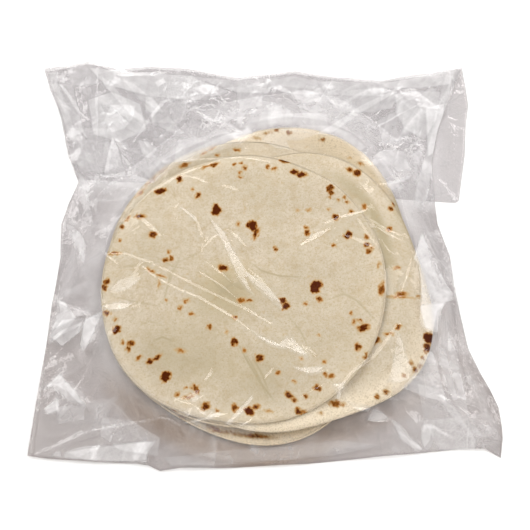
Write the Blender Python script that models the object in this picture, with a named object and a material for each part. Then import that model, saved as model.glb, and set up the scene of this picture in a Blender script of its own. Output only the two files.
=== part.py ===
"""A clear film bag lying flat with a stack of flour tortillas in it, as one closed solid.

The solid is the bag's outer form. A thin crinkled margin of film surrounds a pillow, where
the film drapes over the stack. The bag's mouth is folded under along the top edge, and one
corner of that flap sticks out on the right.

Metres, +Z up. The origin is under the middle of the bag, on the surface that it lies on.
+X runs to the right of the shown view, and +Y away from its viewer, towards the folded edge.
"""

import math

import bmesh
import bpy

MM = 0.001

# The stack: eight tortillas, lowest first, each a round of dough a little off its neighbours.
TORTILLA_RADIUS = 99.5 * MM
TORTILLA_THICKNESS = 2.2 * MM
TORTILLA_CENTRES = [
    (-5 * MM, -39 * MM),
    (-8 * MM, -32 * MM),
    (3 * MM, -28 * MM),
    (6 * MM, 1.5 * MM),
    (-9 * MM, -14 * MM),
    (-3 * MM, -28 * MM),
    (24 * MM, -32 * MM),
    (-12 * MM, -30 * MM),
]

# The film, which the curled rims hold off the stack, and which falls from the rim to the margin.
FILM_SLACK = 2.4 * MM
DRAPE_REACH = 21 * MM
DRAPE_POWER = 1.35
EDGE_THICKNESS = 1.2 * MM
MARGIN_THICKNESS = 2.0 * MM

# How far the crinkled margin lifts off the surface, and the lengths of its waves and ridges.
MARGIN_LIFT = 2.4 * MM
MARGIN_WAVE_X = 20 * MM
MARGIN_WAVE_Y = 24 * MM
MARGIN_PHASE_X = 0.8
MARGIN_PHASE_Y = -0.4
MARGIN_START = 12 * MM
MARGIN_END = 34 * MM
RIDGE_HEIGHT = 1.5 * MM
RIDGE_SPACING = 31 * MM
RIDGE_SLANT = 0.55

# The bag's outline at rest, corner to corner, as X and Y in millimetres. Each side has a
# point only where its edge bends: it is pulled in beside the stack and flares at the corners.
BOTTOM_SIDE = [
    (-154, -147), (-108, -151), (-81, -152), (-66, -157), (-53, -155), (31, -152), (132, -142), (159, -148)
]
TOP_SIDE = [
    (-161, 151), (-131, 157), (-107, 150), (-55, 151), (-18, 143), (25, 148), (87, 141), (128, 147), (150, 153)
]
LEFT_SIDE = [
    (-154, -147), (-147, -70), (-141, -3), (-138, 40), (-132, 58), (-140, 79), (-147, 111), (-161, 151)
]
RIGHT_SIDE = [
    (159, -148), (161, -127), (148, -86), (142, -71), (133, 0), (125, 36), (124, 74), (136, 120), (150, 153)
]

# The bag's mouth, folded under the top edge: a flat flap whose lower right corner shows.
FLAP_LEFT = -124 * MM
FLAP_TOP_LEFT = 138 * MM
FLAP_TOP_RIGHT = 149 * MM
FLAP_RIGHT = 154 * MM
FLAP_BOTTOM_LEFT = 58 * MM
FLAP_BOTTOM_RIGHT = 41 * MM
FLAP_BEND = 122 * MM
FLAP_BEND_END = 103 * MM
FLAP_BEND_INSET = 3 * MM
FLAP_DIP = 87 * MM
FLAP_CORNER_INSET = 11 * MM
FLAP_CORNER_RADIUS = 5 * MM
FLAP_BASE = 0.3 * MM
FLAP_THICKNESS = 1.3 * MM
REST_ON_FLAP = 1.0 * MM
FLAP_RAMP_START = 20 * MM
FLAP_RAMP_END = 38 * MM
CORNER_STEPS = 4

COLUMNS = 48
ROWS = 44


def remove_everything():
    for thing in list(bpy.data.objects):
        bpy.data.objects.remove(thing, do_unlink=True)


def side_points(side, count):
    """A side as count equal steps or nearly so, with each bend of its edge kept."""
    lengths = [math.dist(a, b) for a, b in zip(side, side[1:])]
    bends = [round(count * sum(lengths[:index]) / sum(lengths)) for index in range(len(side))]
    points = [(side[0][0] * MM, side[0][1] * MM)]
    for start, end, first, last in zip(side, side[1:], bends, bends[1:]):
        for step in range(1, last - first + 1):
            part = step / (last - first)
            points.append(tuple((a + (b - a) * part) * MM for a, b in zip(start, end)))
    return points


def bag_places():
    """Rows of places across the bag, each blended from the outline's four sides."""
    bottom, top = side_points(BOTTOM_SIDE, COLUMNS), side_points(TOP_SIDE, COLUMNS)
    left, right = side_points(LEFT_SIDE, ROWS), side_points(RIGHT_SIDE, ROWS)
    places = []
    for row in range(ROWS + 1):
        v = row / ROWS
        places.append([])
        for column in range(COLUMNS + 1):
            u = column / COLUMNS
            places[row].append(
                tuple(
                    (1 - v) * bottom[column][axis]
                    + v * top[column][axis]
                    + (1 - u) * left[row][axis]
                    + u * right[row][axis]
                    - (1 - u) * (1 - v) * bottom[0][axis]
                    - u * (1 - v) * bottom[-1][axis]
                    - (1 - u) * v * top[0][axis]
                    - u * v * top[-1][axis]
                    for axis in (0, 1)
                )
            )
    return places


def smooth_step(value, start, end):
    share = min(max((value - start) / (end - start), 0.0), 1.0)
    return share * share * (3 - 2 * share)


def rim_gap(x, y, centre):
    """How far a place is outside a tortilla's rim, and 0 on the tortilla."""
    return max(math.dist((x, y), centre) - TORTILLA_RADIUS, 0.0)


def margin_share(x, y):
    """0 on the stack, 1 well out in the margin."""
    nearest = min(rim_gap(x, y, centre) for centre in TORTILLA_CENTRES)
    return smooth_step(nearest, MARGIN_START, MARGIN_END)


def underside(x, y):
    """The lower film: flat under the stack and on the flap, and in shallow waves elsewhere."""
    wave = math.sin(x / MARGIN_WAVE_X + MARGIN_PHASE_X) * math.cos(y / MARGIN_WAVE_Y + MARGIN_PHASE_Y)
    lift = MARGIN_LIFT * margin_share(x, y) * (0.5 + 0.5 * wave)
    on_flap = smooth_step(y, FLAP_RAMP_START, FLAP_RAMP_END)
    return lift * (1 - on_flap) + REST_ON_FLAP * on_flap


def upper_side(x, y):
    """The upper film: draped over each tortilla in turn, with creases running from the rim."""
    drape = 0.0
    for level, centre in enumerate(TORTILLA_CENTRES, 1):
        fall = math.exp(-((rim_gap(x, y, centre) / DRAPE_REACH) ** DRAPE_POWER))
        drape = max(drape, (level * TORTILLA_THICKNESS + FILM_SLACK) * fall)
    along, across = x + RIDGE_SLANT * y, y - RIDGE_SLANT * x
    ridge = abs(math.sin(along / RIDGE_SPACING) * math.sin(across / RIDGE_SPACING))
    crease = RIDGE_HEIGHT * ridge * margin_share(x, y)
    return max(drape, underside(x, y) + MARGIN_THICKNESS + crease)


def bag_material():
    material = bpy.data.materials.new("clear_film")
    material.use_nodes = True
    shader = material.node_tree.nodes["Principled BSDF"]
    shader.inputs["Base Color"].default_value = (0.72, 0.66, 0.55, 1)
    shader.inputs["Roughness"].default_value = 0.25
    shader.inputs["Metallic"].default_value = 0.0
    return material


def add_object(name, sheet):
    mesh = bpy.data.meshes.new(name)
    sheet.to_mesh(mesh)
    sheet.free()
    made = bpy.data.objects.new(name, mesh)
    bpy.context.scene.collection.objects.link(made)
    return made


def make_body():
    """The upper and lower films on one grid, joined by a narrow band round the outline."""
    sheet = bmesh.new()
    upper, lower = [], []
    for row, places in enumerate(bag_places()):
        upper.append([])
        lower.append([])
        for column, (x, y) in enumerate(places):
            rim = row in (0, ROWS) or column in (0, COLUMNS)
            base = underside(x, y)
            top = base + EDGE_THICKNESS if rim else upper_side(x, y)
            upper[row].append(sheet.verts.new((x, y, top)))
            lower[row].append(sheet.verts.new((x, y, base)))
    for row in range(ROWS):
        for column in range(COLUMNS):
            corners = [(row, column), (row, column + 1), (row + 1, column + 1), (row + 1, column)]
            sheet.faces.new([upper[r][c] for r, c in corners])
            sheet.faces.new([lower[r][c] for r, c in reversed(corners)])
    around = (
        [(0, column) for column in range(COLUMNS)]
        + [(row, COLUMNS) for row in range(ROWS)]
        + [(ROWS, column) for column in range(COLUMNS, 0, -1)]
        + [(row, 0) for row in range(ROWS, 0, -1)]
    )
    for (r, c), (r_next, c_next) in zip(around, around[1:] + around[:1]):
        sheet.faces.new([lower[r][c], lower[r_next][c_next], upper[r_next][c_next], upper[r][c]])
    return add_object("bag", sheet)


def flap_outline():
    """The flap, seen from above. Its free corner is rounded, and its end is bent in the middle."""
    corner = (FLAP_RIGHT - FLAP_CORNER_INSET - FLAP_CORNER_RADIUS, FLAP_BOTTOM_RIGHT + FLAP_CORNER_RADIUS)
    points = [(FLAP_LEFT, FLAP_TOP_LEFT), (FLAP_LEFT, FLAP_BOTTOM_LEFT)]
    for step in range(CORNER_STEPS + 1):
        angle = -math.pi / 2 + math.pi / 2 * step / CORNER_STEPS
        points.append(
            (
                corner[0] + FLAP_CORNER_RADIUS * math.cos(angle),
                corner[1] + FLAP_CORNER_RADIUS * math.sin(angle),
            )
        )
    return points + [
        (FLAP_RIGHT - FLAP_BEND_INSET, FLAP_BEND_END),
        (FLAP_RIGHT, FLAP_BEND),
        (FLAP_RIGHT - FLAP_BEND_INSET, FLAP_TOP_RIGHT),
        (FLAP_DIP, FLAP_TOP_LEFT),
    ]


def make_flap():
    sheet = bmesh.new()
    face = sheet.faces.new([sheet.verts.new((x, y, FLAP_BASE)) for x, y in flap_outline()])
    raised = bmesh.ops.extrude_face_region(sheet, geom=[face])["geom"]
    corners = [part for part in raised if isinstance(part, bmesh.types.BMVert)]
    bmesh.ops.translate(sheet, verts=corners, vec=(0, 0, FLAP_THICKNESS))
    bmesh.ops.recalc_face_normals(sheet, faces=sheet.faces)
    flap = add_object("flap_guide", sheet)
    flap.hide_render = True
    flap.display_type = "WIRE"
    return flap


def main():
    remove_everything()
    bag = make_body()
    bag.data.materials.append(bag_material())
    union = bag.modifiers.new("flap", "BOOLEAN")
    union.operation = "UNION"
    union.solver = "EXACT"
    union.object = make_flap()
    bag.data.shade_smooth()


main()
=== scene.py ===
import math

import bpy
import numpy as np
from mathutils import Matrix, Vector


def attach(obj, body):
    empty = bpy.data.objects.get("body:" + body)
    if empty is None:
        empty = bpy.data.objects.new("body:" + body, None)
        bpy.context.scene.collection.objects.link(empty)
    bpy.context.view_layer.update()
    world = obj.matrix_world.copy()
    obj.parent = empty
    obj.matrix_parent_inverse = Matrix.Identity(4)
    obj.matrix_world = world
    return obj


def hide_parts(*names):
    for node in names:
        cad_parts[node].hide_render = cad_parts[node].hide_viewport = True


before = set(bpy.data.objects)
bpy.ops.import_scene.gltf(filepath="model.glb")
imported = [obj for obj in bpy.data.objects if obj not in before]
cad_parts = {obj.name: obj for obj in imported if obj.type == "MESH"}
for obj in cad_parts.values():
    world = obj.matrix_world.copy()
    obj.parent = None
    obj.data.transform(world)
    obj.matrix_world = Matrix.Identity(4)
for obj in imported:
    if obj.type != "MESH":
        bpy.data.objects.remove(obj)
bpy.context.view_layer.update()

# A clear film bag lying flat, with a stack of flour tortillas in it. The solid "bag" of the
# frame is replaced by its film and by each tortilla. Lengths here are in millimetres, unless
# a name says otherwise, and become metres where a mesh, a light or the camera is made.

MM = 0.001
BODY = "root"

# ---------------------------------------------------------------- the view

IMAGE_PIXELS = 530
SENSOR = 36.0
VIEW_TARGET = np.array([3.0, -8.0, 0.0])
VIEW_ELEVATION = math.radians(66)
VIEW_DISTANCE = 950.0
PIXEL = 0.704  # the width of a pixel at the target
FOCAL_PIXELS = VIEW_DISTANCE / PIXEL

VIEW_FORWARD = np.array([0, math.cos(VIEW_ELEVATION), -math.sin(VIEW_ELEVATION)])
VIEW_UP = np.array([0, math.sin(VIEW_ELEVATION), math.cos(VIEW_ELEVATION)])
VIEW_RIGHT = np.array([1.0, 0, 0])
EYE = VIEW_TARGET - VIEW_DISTANCE * VIEW_FORWARD


def to_pixels(places):
    """Where places, with X, Y and Z last, show in the photograph's frame."""
    away = np.asarray(places, float) - EYE
    depth = away @ VIEW_FORWARD
    middle = IMAGE_PIXELS / 2
    return np.stack(
        [
            middle + FOCAL_PIXELS * (away @ VIEW_RIGHT) / depth,
            middle - FOCAL_PIXELS * (away @ VIEW_UP) / depth,
        ],
        -1,
    )


def from_pixel(px, py, height):
    """The place at this height that shows at a pixel."""
    middle = IMAGE_PIXELS / 2
    ray = VIEW_FORWARD + (px - middle) / FOCAL_PIXELS * VIEW_RIGHT - (py - middle) / FOCAL_PIXELS * VIEW_UP
    return (EYE + (height - EYE[2]) / ray[2] * ray)[:2]


# ---------------------------------------------------------------- the lights

# Round lamps hang in an arc, from the right over the back to the left. Film that leans by this
# slope, towards any lamp, mirrors it to the camera.
ARC_DISTANCE = 1250.0
ARC_SLOPE = 0.4
ARC_LAMPS = 9
ARC_LAMP_SIZE = 370.0
ARC_RADIANCE = 2.8
# The lights of the room itself are too spread out to show in the film: a way from +X and an
# elevation in degrees, a distance and a size in mm, and a radiance.
ROOM_LIGHTS = {
    "key": (140, 50, 2500, 1170, 7.3),
    "fill": (-35, 60, 1200, 760, 2.1),
    "ceiling": (0, 68, 1100, 960, 1.6),
    "front": (-90, 28, 1400, 700, 0.9),
}
# The room is paler towards the horizon and dark overhead, where the film would mirror it.
HORIZON_RADIANCE = 1.6
OVERHEAD_RADIANCE = 0.035
OVERHEAD_FROM = 0.6


def unit(vectors):
    return vectors / np.linalg.norm(vectors, axis=-1, keepdims=True)


def lamp_place(way):
    """Where the arc is, so that film at the target that leans this way mirrors it."""
    way = np.asarray(way, float)
    leaning = [ARC_SLOPE * np.cos(way), ARC_SLOPE * np.sin(way), np.ones_like(way)]
    normal = unit(np.stack(leaning, -1))
    to_eye = -VIEW_FORWARD
    return VIEW_TARGET + ARC_DISTANCE * (2 * (normal @ to_eye)[..., None] * normal - to_eye)


def mirror_slope(places, way):
    """The slope, in X and Y, that makes film at each place mirror the arc to the camera."""
    normal = unit(unit(EYE - places) + unit(lamp_place(way) - places))
    return -normal[..., :2] / normal[..., 2:]


# ---------------------------------------------------------------- small tools

POLYGON_BLEND = 1.4  # in pixels


def smooth_step(value, start, end):
    share = np.clip((value - start) / (end - start), 0, 1)
    return share * share * (3 - 2 * share)


def soften(field, times):
    """A field on a grid, averaged with its neighbours a number of times, up and then across."""
    for _ in range(2 * times):
        padded = np.pad(field, ((1, 1), (0, 0)), mode="edge")
        field = ((padded[:-2] + 2 * padded[1:-1] + padded[2:]) / 4).T
    return field


def waves(x, y, length, seed, count=7):
    """A smooth uneven field from about -1 to 1, whose bumps are about this length across."""
    draw = np.random.default_rng(seed)
    total = np.zeros_like(x, dtype=float)
    for _ in range(count):
        turn, phase = draw.uniform(0, 2 * math.pi, 2)
        pace = 2 * math.pi / (length * draw.uniform(0.75, 1.6))
        bent = pace * (x * math.cos(turn) + y * math.sin(turn))
        total += np.sin(bent + phase + 0.8 * np.sin(0.7 * pace * (y - x) + 2 * phase))
    return total / math.sqrt(count)


def inside(points, corners):
    """Which points, as X and Y last, are in a polygon."""
    x, y = points[..., 0], points[..., 1]
    hit = np.zeros(x.shape, bool)
    for (x0, y0), (x1, y1) in zip(corners, corners[1:] + corners[:1]):
        if y0 != y1:
            crosses = (y0 > y) != (y1 > y)
            hit ^= crosses & (x < (x1 - x0) * (y - y0) / (y1 - y0) + x0)
    return hit


def from_line(points, line):
    """How far points are from a line of straight stretches, the share of it passed, and the
    direction of its nearest stretch on the ground, for a line in pixels."""
    lengths = [math.dist(a, b) for a, b in zip(line, line[1:])]
    nearest = np.full(points.shape[:-1], np.inf)
    share = np.zeros(points.shape[:-1])
    way = np.zeros(points.shape[:-1])
    passed = 0.0
    for start, end, length in zip(line, line[1:], lengths):
        step = (np.array(end) - start) / length
        away = points - start
        along = np.clip(away @ step, 0, length)
        gap = np.linalg.norm(away - along[..., None] * step, axis=-1)
        closer = gap < nearest
        nearest = np.where(closer, gap, nearest)
        share = np.where(closer, (passed + along) / sum(lengths), share)
        way = np.where(closer, math.atan2(-step[1] / math.sin(VIEW_ELEVATION), step[0]), way)
        passed += length
    return nearest, share, way


def polygon_share(points, corners):
    """1 in a polygon and 0 outside it, blended across its edge."""
    away = from_line(points, corners + corners[:1])[0]
    return np.clip(0.5 + np.where(inside(points, corners), away, -away) / POLYGON_BLEND, 0, 1)


def sheet_faces(rows, columns, start=0, flip=False):
    """The quads of a grid of points, row by row."""
    first = (np.arange(rows - 1)[:, None] * columns + np.arange(columns - 1)).ravel() + start
    quads = np.stack([first, first + 1, first + columns + 1, first + columns], -1)
    return quads[:, ::-1] if flip else quads


def add_mesh(name, points, faces, material):
    """A smooth-shaded piece of the object."""
    mesh = bpy.data.meshes.new(name)
    mesh.from_pydata((np.asarray(points) * MM).tolist(), [], [list(map(int, face)) for face in faces])
    mesh.validate()
    mesh.shade_smooth()
    mesh.materials.append(material)
    piece = bpy.data.objects.new(name, mesh)
    bpy.context.scene.collection.objects.link(piece)
    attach(piece, BODY)
    return piece


def sheet_normals(points):
    """The normal at each point of a grid, from the points beside it."""
    across, up = np.gradient(points, axis=1), np.gradient(points, axis=0)
    return unit(np.cross(across, up))


def add_field(piece, name, values):
    """Numbers for a piece's points, which its material reads by name."""
    layer = piece.data.attributes.new(name, "FLOAT", "POINT")
    layer.data.foreach_set("value", np.asarray(values, np.float32).ravel())


# ---------------------------------------------------------------- the tortillas

THICKNESS = 2.2
RIM_ROUNDING = 1.7
RIM_SHARE = 0.82  # of the thickness near the rim
THIN_REACH = 14
STACK = [
    # lowest first: x, y, radius, and how far it is out of round, as (lobes, height, way) each
    (-5, -38.5, 98.5, [(2, 1.5, 90), (4, 2.5, -78), (5, 1, -78)]),
    (-8, -32, 97, [(2, 2, -45)]),
    (3, -28, 97, [(2, 2, 0)]),
    (6, 1.5, 99, [(2, 2.5, 75), (2, 2.5, 27), (3, 1.7, 44), (4, 2.4, -23)]),
    (-9, -14, 99, [(2, 1.5, 120)]),
    (-7, -32, 98.5, [(2, 1.5, 45)]),
    (24, -32, 98.5, [(2, 5.8, 83), (3, 3.1, -24), (4, 3.6, -27)]),
    (-12, -30, 99.5, [(2, 1, 90)]),
]
TOP, RIGHT, HIGH = 7, 6, 3  # those that show most, by their place in the stack
STACK_MIDDLE_Y = -20
STACK_STEP = 1.5
STACK_X = np.arange(-135, 142, STACK_STEP)
STACK_Y = np.arange(-160, 118, STACK_STEP)
TABLE_GAP = 0.6
STACK_ON_FLAP = 0.55  # besides film_on_flap(), and 0.3 above the lower film there
BEND = 50  # dough bends no tighter than this radius over what it lies on
BEND_CELLS = 25
BED_SOFTENING = 3
LIFT_REACH = 15

# A round's rings of points: how deep in it the innermost one is, from which depth they get
# less uneven, and the radius of the hole in the middle, which one face closes.
MIDDLE_DEPTH, UNEVEN_DEPTH, HOLE_RADIUS = 96, 40, 0.8
TOP_SECTORS, TOP_RINGS = 900, 160
LOWER_SECTORS, LOWER_RINGS = 600, 36
RIM_RINGS = 6
UNDERSIDE_STEP = 6  # underneath, past the rim, only every sixth ring is kept
UNDERSIDE_LIFT = 0.25  # at the rim's edge

# Where a tortilla's rim curls up: the tortilla, a way and a spread in degrees, and a height.
RIM_LIFTS = [
    (7, 46, 28, 3.2), (7, 5, 45, 1.9), (7, -42, 26, 2), (7, -95, 34, 0.9), (7, 120, 30, 0.4),
    (6, 72, 34, 1.5), (6, 110, 20, 0.8), (6, -78, 36, 1.3), (5, -90, 40, 1), (4, 130, 34, 0.8),
    (1, -108, 46, 2.6), (1, -60, 26, 0.9), (0, -100, 50, 2.6),
]

SPOT_LOBES = 4  # the rounds that make up a spot

# The brown spots that show, by the pixel they show at, and a few long marks of painted shadow in
# the gaps between the lowest rims. Width and height are in millimetres, turn in degrees, and
# darkness runs from 0, golden, to 1, nearly black.
SPOTS = [
    # on the top tortilla, its upper left
    (217, 209, 6, 8.2, 0, 0.95), (252, 226, 7, 8, 0, 0.9), (256, 234, 4, 7.5, -20, 0.8),
    (161, 192, 7.8, 5, 10, 0.95), (180, 179, 4.6, 5, 0, 0.95), (198, 196, 3.4, 5, -20, 0.7),
    (193, 189, 2.4, 2.4, 0, 0.3), (140, 216, 7.2, 3.2, 4, 0.95), (152, 235, 5.8, 4.8, -20, 0.75),
    (169, 252, 2.2, 2, 0, 0.6), (166, 260, 4, 3, 0, 0.6), (171, 258, 4, 4, 30, 0.45),
    (114, 253, 6, 1.9, 0, 0.9), (106, 281, 4.6, 5.5, 0, 0.65), (104, 288, 4.2, 4.4, 0, 0.8),
    (223, 268, 6.6, 4.6, -15, 0.85), (151, 271, 5.5, 1.8, -35, 0.75), (160, 276, 5.5, 1.8, -20, 0.6),
    (159, 283, 2.2, 5, 0, 0.2), (238, 224, 2.6, 3.2, 0, 0.3), (128, 218, 2.2, 2.4, 0, 0.6),
    (122, 227, 2.8, 3, -20, 0.75), (120, 240, 2.4, 2.2, 0, 0.45), (126, 221, 2, 1.8, 0, 0.6),
    (206, 167, 8, 2.2, 22, 0.45), (214, 165, 5.5, 3.2, 22, 0.75), (235, 164, 3, 3, 0, 0.7),
    (241, 163, 2.4, 2.2, 0, 0.7), (245, 168, 3, 3.4, 0, 0.65), (240, 173, 2.4, 3.6, 0, 0.4),
    (240, 177, 3, 2.2, 0, 0.6), (267, 167, 3, 3.4, 0, 0.55), (274, 169, 3.4, 2.6, 20, 0.6),
    # its upper right
    (294, 172, 5.4, 5, -15, 0.95), (302, 175, 6.8, 4.2, -10, 0.9), (330, 188, 6, 5.4, -30, 0.7),
    (331, 193, 3.8, 3.6, 0, 0.65), (330, 197, 1.6, 1.6, 0, 0.6), (338, 200, 2, 2, 0, 0.7),
    (344, 197, 1.9, 1.6, 0, 0.7), (347, 202, 3, 2.8, 0, 0.65), (351, 212, 3.2, 2.2, 0, 0.75),
    (336, 217, 4.2, 4.6, 0, 0.85), (328, 209, 2.2, 1.8, 0, 0.3), (348, 236, 6.2, 5.6, 30, 0.95),
    (366, 237, 3.8, 3.6, 0, 0.45), (367, 245, 5, 4.4, 0, 0.75), (368, 251, 4.6, 3.6, 0, 0.65),
    (372, 248, 2.6, 2.2, 0, 0.6), (306, 227, 4.4, 3, -20, 0.5), (307, 233, 3.4, 4.4, 0, 0.7),
    (333, 245, 2.4, 3, 20, 0.55), (276, 249, 2.8, 3.6, 0, 0.7), (316, 287, 8.8, 8.4, 0, 1),
    (319, 299, 3, 4, 0, 0.7), (306, 303, 3.2, 2.6, 20, 0.35), (283, 301, 5, 4.4, -20, 0.8),
    (287, 306, 4.4, 5.4, -30, 0.85), (381, 290, 3.6, 8, -8, 0.6), (383, 283, 2.2, 3.6, -8, 0.35),
    (379, 265, 1.6, 3.4, -10, 0.4), (298, 210, 2.8, 1.8, 0, 0.25), (309, 210, 2.8, 1.6, 0, 0.25),
    # its lower right
    (365, 328, 8.6, 4.6, 12, 0.85), (360, 321, 4.4, 2.8, -25, 0.55), (354, 322, 2.4, 3, 0, 0.5),
    (351, 313, 2.2, 2.2, 0, 0.3), (357, 346, 4.8, 5.4, -20, 0.75), (324, 362, 2.4, 2.6, 0, 0.35),
    (325, 374, 4, 3.6, -25, 0.5), (331, 376, 4.4, 3.4, 20, 0.45), (318, 388, 5, 4.4, -20, 0.65),
    (305, 396, 3.2, 2.6, 0, 0.7), (289, 395, 5, 4, -25, 0.7), (294, 400, 5, 4, -30, 0.65),
    (278, 373, 3.4, 3.2, -30, 0.45), (294, 381, 2.8, 2.4, 0, 0.25), (301, 358, 2.4, 2, 0, 0.3),
    (259, 358, 5.6, 4.6, 20, 0.75), (234, 342, 5, 6, 15, 0.8), (244, 350, 2.2, 2.6, 0, 0.45),
    (241, 300, 6, 4.6, 0, 0.4), (249, 300, 3.6, 3.2, 0, 0.65), (235, 317, 3.2, 2.6, -20, 0.6),
    (227, 332, 2, 2.4, 0, 0.25), (319, 335, 2, 1.6, 0, 0.25), (270, 411, 4.8, 1.8, 0, 0.2),
    # its lower left
    (116, 330, 6.2, 6.2, 0, 1), (107, 313, 4.8, 3.4, -20, 0.8), (116, 319, 3, 2.2, 0, 0.25),
    (131, 343, 5.8, 4.4, 0, 0.7), (122, 343, 2.6, 2.6, 20, 0.6), (128, 349, 3, 3.4, 0, 0.6),
    (138, 358, 4.4, 2.8, 35, 0.65), (150, 362, 5.4, 3.6, 25, 0.95), (157, 358, 5.6, 2.8, 28, 0.95),
    (166, 377, 8.2, 6.6, 15, 1), (186, 388, 2.2, 1.9, 0, 0.6), (177, 395, 3.4, 2.8, 0, 0.65),
    (195, 387, 4.6, 4.4, 0, 0.6), (197, 392, 3.8, 5, 0, 0.5), (189, 396, 7, 3, 10, 0.45),
    (206, 406, 6.6, 5.2, 15, 0.8), (217, 411, 2.4, 2.4, 0, 0.6), (235, 408, 4.2, 5.6, 15, 0.7),
    (249, 412, 6.4, 6, -40, 1), (256, 407, 5.6, 3.2, 10, 0.7), (182, 351, 7.4, 2.8, -10, 0.25),
    (209, 327, 3, 3, 0, 0.6), (192, 314, 3.8, 2.8, 0, 0.45), (180, 308, 2.6, 3, 0, 0.3),
    (186, 301, 3.6, 2.8, -15, 0.35), (166, 300, 1.5, 1.8, 0, 0.6),
    # on those below it, at the top and the right
    (160, 172, 8, 1.8, 42, 0.75), (151, 181, 8, 2, 45, 0.8), (141, 192, 8, 1.8, 48, 0.75),
    (204, 153, 5, 2.2, 35, 0.85), (212, 148, 4, 1.8, 35, 0.75), (217, 155, 2.8, 2.2, 0, 0.85),
    (184, 165, 7, 3, 25, 0.6), (237, 150, 5, 2.8, 0, 0.75), (277, 130, 3.2, 2.8, 0, 0.75),
    (268, 133, 5, 2, 20, 0.3), (257, 138, 4.4, 1.8, -20, 0.3), (289, 133, 3.8, 3.6, 0, 0.5),
    (322, 139, 3.6, 3, 20, 0.5), (350, 158, 2.4, 1.8, 0, 0.6), (361, 164, 3.2, 1.8, -20, 0.6),
    (284, 161, 7, 4.4, 0, 0.7), (350, 170, 4.4, 3.6, -20, 0.7), (358, 173, 5.6, 6, -20, 0.85),
    (391, 209, 3.4, 3.6, 0, 0.85), (394, 204, 2.2, 3.2, -20, 0.8), (364, 207, 3.6, 5, -20, 0.4),
    (389, 229, 4, 3.8, 0, 0.55), (397, 268, 4.6, 2.8, 20, 0.45), (402, 294, 6.6, 4.4, 0, 0.5),
    (399, 297, 15, 1.8, 0, 0.35), (419, 297, 2.4, 2, 0, 0.35), (398, 327, 5, 3.6, 25, 0.7),
    (386, 334, 3.2, 2.2, 10, 0.5), (392, 334, 2.2, 2.2, 0, 0.5), (377, 340, 3, 6, -30, 0.95),
    (366, 356, 2.8, 4.4, -35, 0.85), (429, 339, 7.4, 8.4, 0, 1), (427, 347, 5.4, 6, -15, 0.9),
    (425, 352, 2, 2.6, 0, 0.7), (423, 358, 2.2, 2.2, 0, 0.7), (420, 366, 2, 2.4, 0, 0.6),
    (411, 363, 3, 2.8, 0, 0.5), (415, 369, 3.6, 3.6, 20, 0.6), (404, 376, 2.2, 2.8, 0, 0.5),
    (377, 397, 3.8, 3, 25, 0.75), (386, 392, 3.4, 2.6, 25, 0.8), (335, 404, 6.8, 5.6, 0, 0.55),
    (343, 404, 3.6, 2.6, 0, 0.4), (298, 411, 4.4, 4.6, 20, 0.75), (304, 413, 6, 3.4, 0, 0.25),
    # (256, 436), (214, 429) and (234, 433), long and thin along the lowest rims, are painted shadow in the
    # gaps between those rims
    (320, 413, 2.6, 1.8, 0, 0.25), (256, 436, 20, 2.4, -4, 0.75), (214, 429, 11, 2.4, -18, 0.6),
    (234, 433, 16, 1.8, -8, 0.5),
    (174, 410, 4.4, 2.4, -35, 0.5), (182, 416, 4, 2, -35, 0.5),
]


def tortilla_rim(index, turn):
    """A tortilla's radius in each direction, a little uneven like rolled dough."""
    _, _, radius, lobes = STACK[index]
    draw = np.random.default_rng(40 + index)
    rim = np.full(np.shape(turn), float(radius))
    for count, height, way in lobes:
        rim = rim + height * np.cos(count * (turn - math.radians(way)))
    for wave in range(3, 10):
        rim = rim + draw.normal(0, 0.9 / (wave - 1)) * np.cos(wave * turn + draw.uniform(0, 2 * math.pi))
    return rim


def inset(index, x, y):
    """How far places are inside a tortilla's rim, negative outside it."""
    away_x, away_y = x - STACK[index][0], y - STACK[index][1]
    return tortilla_rim(index, np.arctan2(away_y, away_x)) - np.hypot(away_x, away_y)


def dough_thickness(depth):
    """The dough at a depth inside the rim: rounded at its edge, and thinner near it."""
    edge = np.sqrt(np.clip(1 - (1 - np.clip(depth / RIM_ROUNDING, 0, 1)) ** 2, 0, 1))
    return THICKNESS * edge * (RIM_SHARE + (1 - RIM_SHARE) * smooth_step(depth, 0, THIN_REACH))


def sample(field, x, y):
    """A field of the stack's grid, read between its points."""
    column = np.clip((x - STACK_X[0]) / STACK_STEP, 0, len(STACK_X) - 1.001)
    row = np.clip((y - STACK_Y[0]) / STACK_STEP, 0, len(STACK_Y) - 1.001)
    i, j = np.asarray(row).astype(int), np.asarray(column).astype(int)
    u, v = column - j, row - i
    return (
        field[i, j] * (1 - u) * (1 - v)
        + field[i, j + 1] * u * (1 - v)
        + field[i + 1, j] * (1 - u) * v
        + field[i + 1, j + 1] * u * v
    )


def lay_stack():
    """Lays each tortilla on those below it. Returns the heights of each one's underside and
    upper side, and of what lies on top, on the stack's grid."""
    x, y = np.meshgrid(STACK_X, STACK_Y)
    top = np.maximum(TABLE_GAP, STACK_ON_FLAP + film_on_flap(x, y))
    beds, tops = [], []
    for index in range(len(STACK)):
        depth = inset(index, x, y)
        bed = soften(bent_over(top), BED_SOFTENING) + rim_lift(index, x, y, depth)
        beds.append(bed)
        lying = bed + dough_thickness(depth) + surface_relief(index, x, y, depth)
        tops.append(lying)
        top = np.where(depth > 0, np.maximum(top, lying), top)
    return beds, tops, top


def bent_over(top):
    """The underside of a limp round laid on these heights."""
    for axis in (0, 1):
        highest = top
        for cells in range(1, BEND_CELLS + 1):
            drop = (cells * STACK_STEP) ** 2 / (2 * BEND)
            beside = np.maximum(np.roll(top, cells, axis), np.roll(top, -cells, axis))
            highest = np.maximum(highest, beside - drop)
        top = highest
    return top


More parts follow.
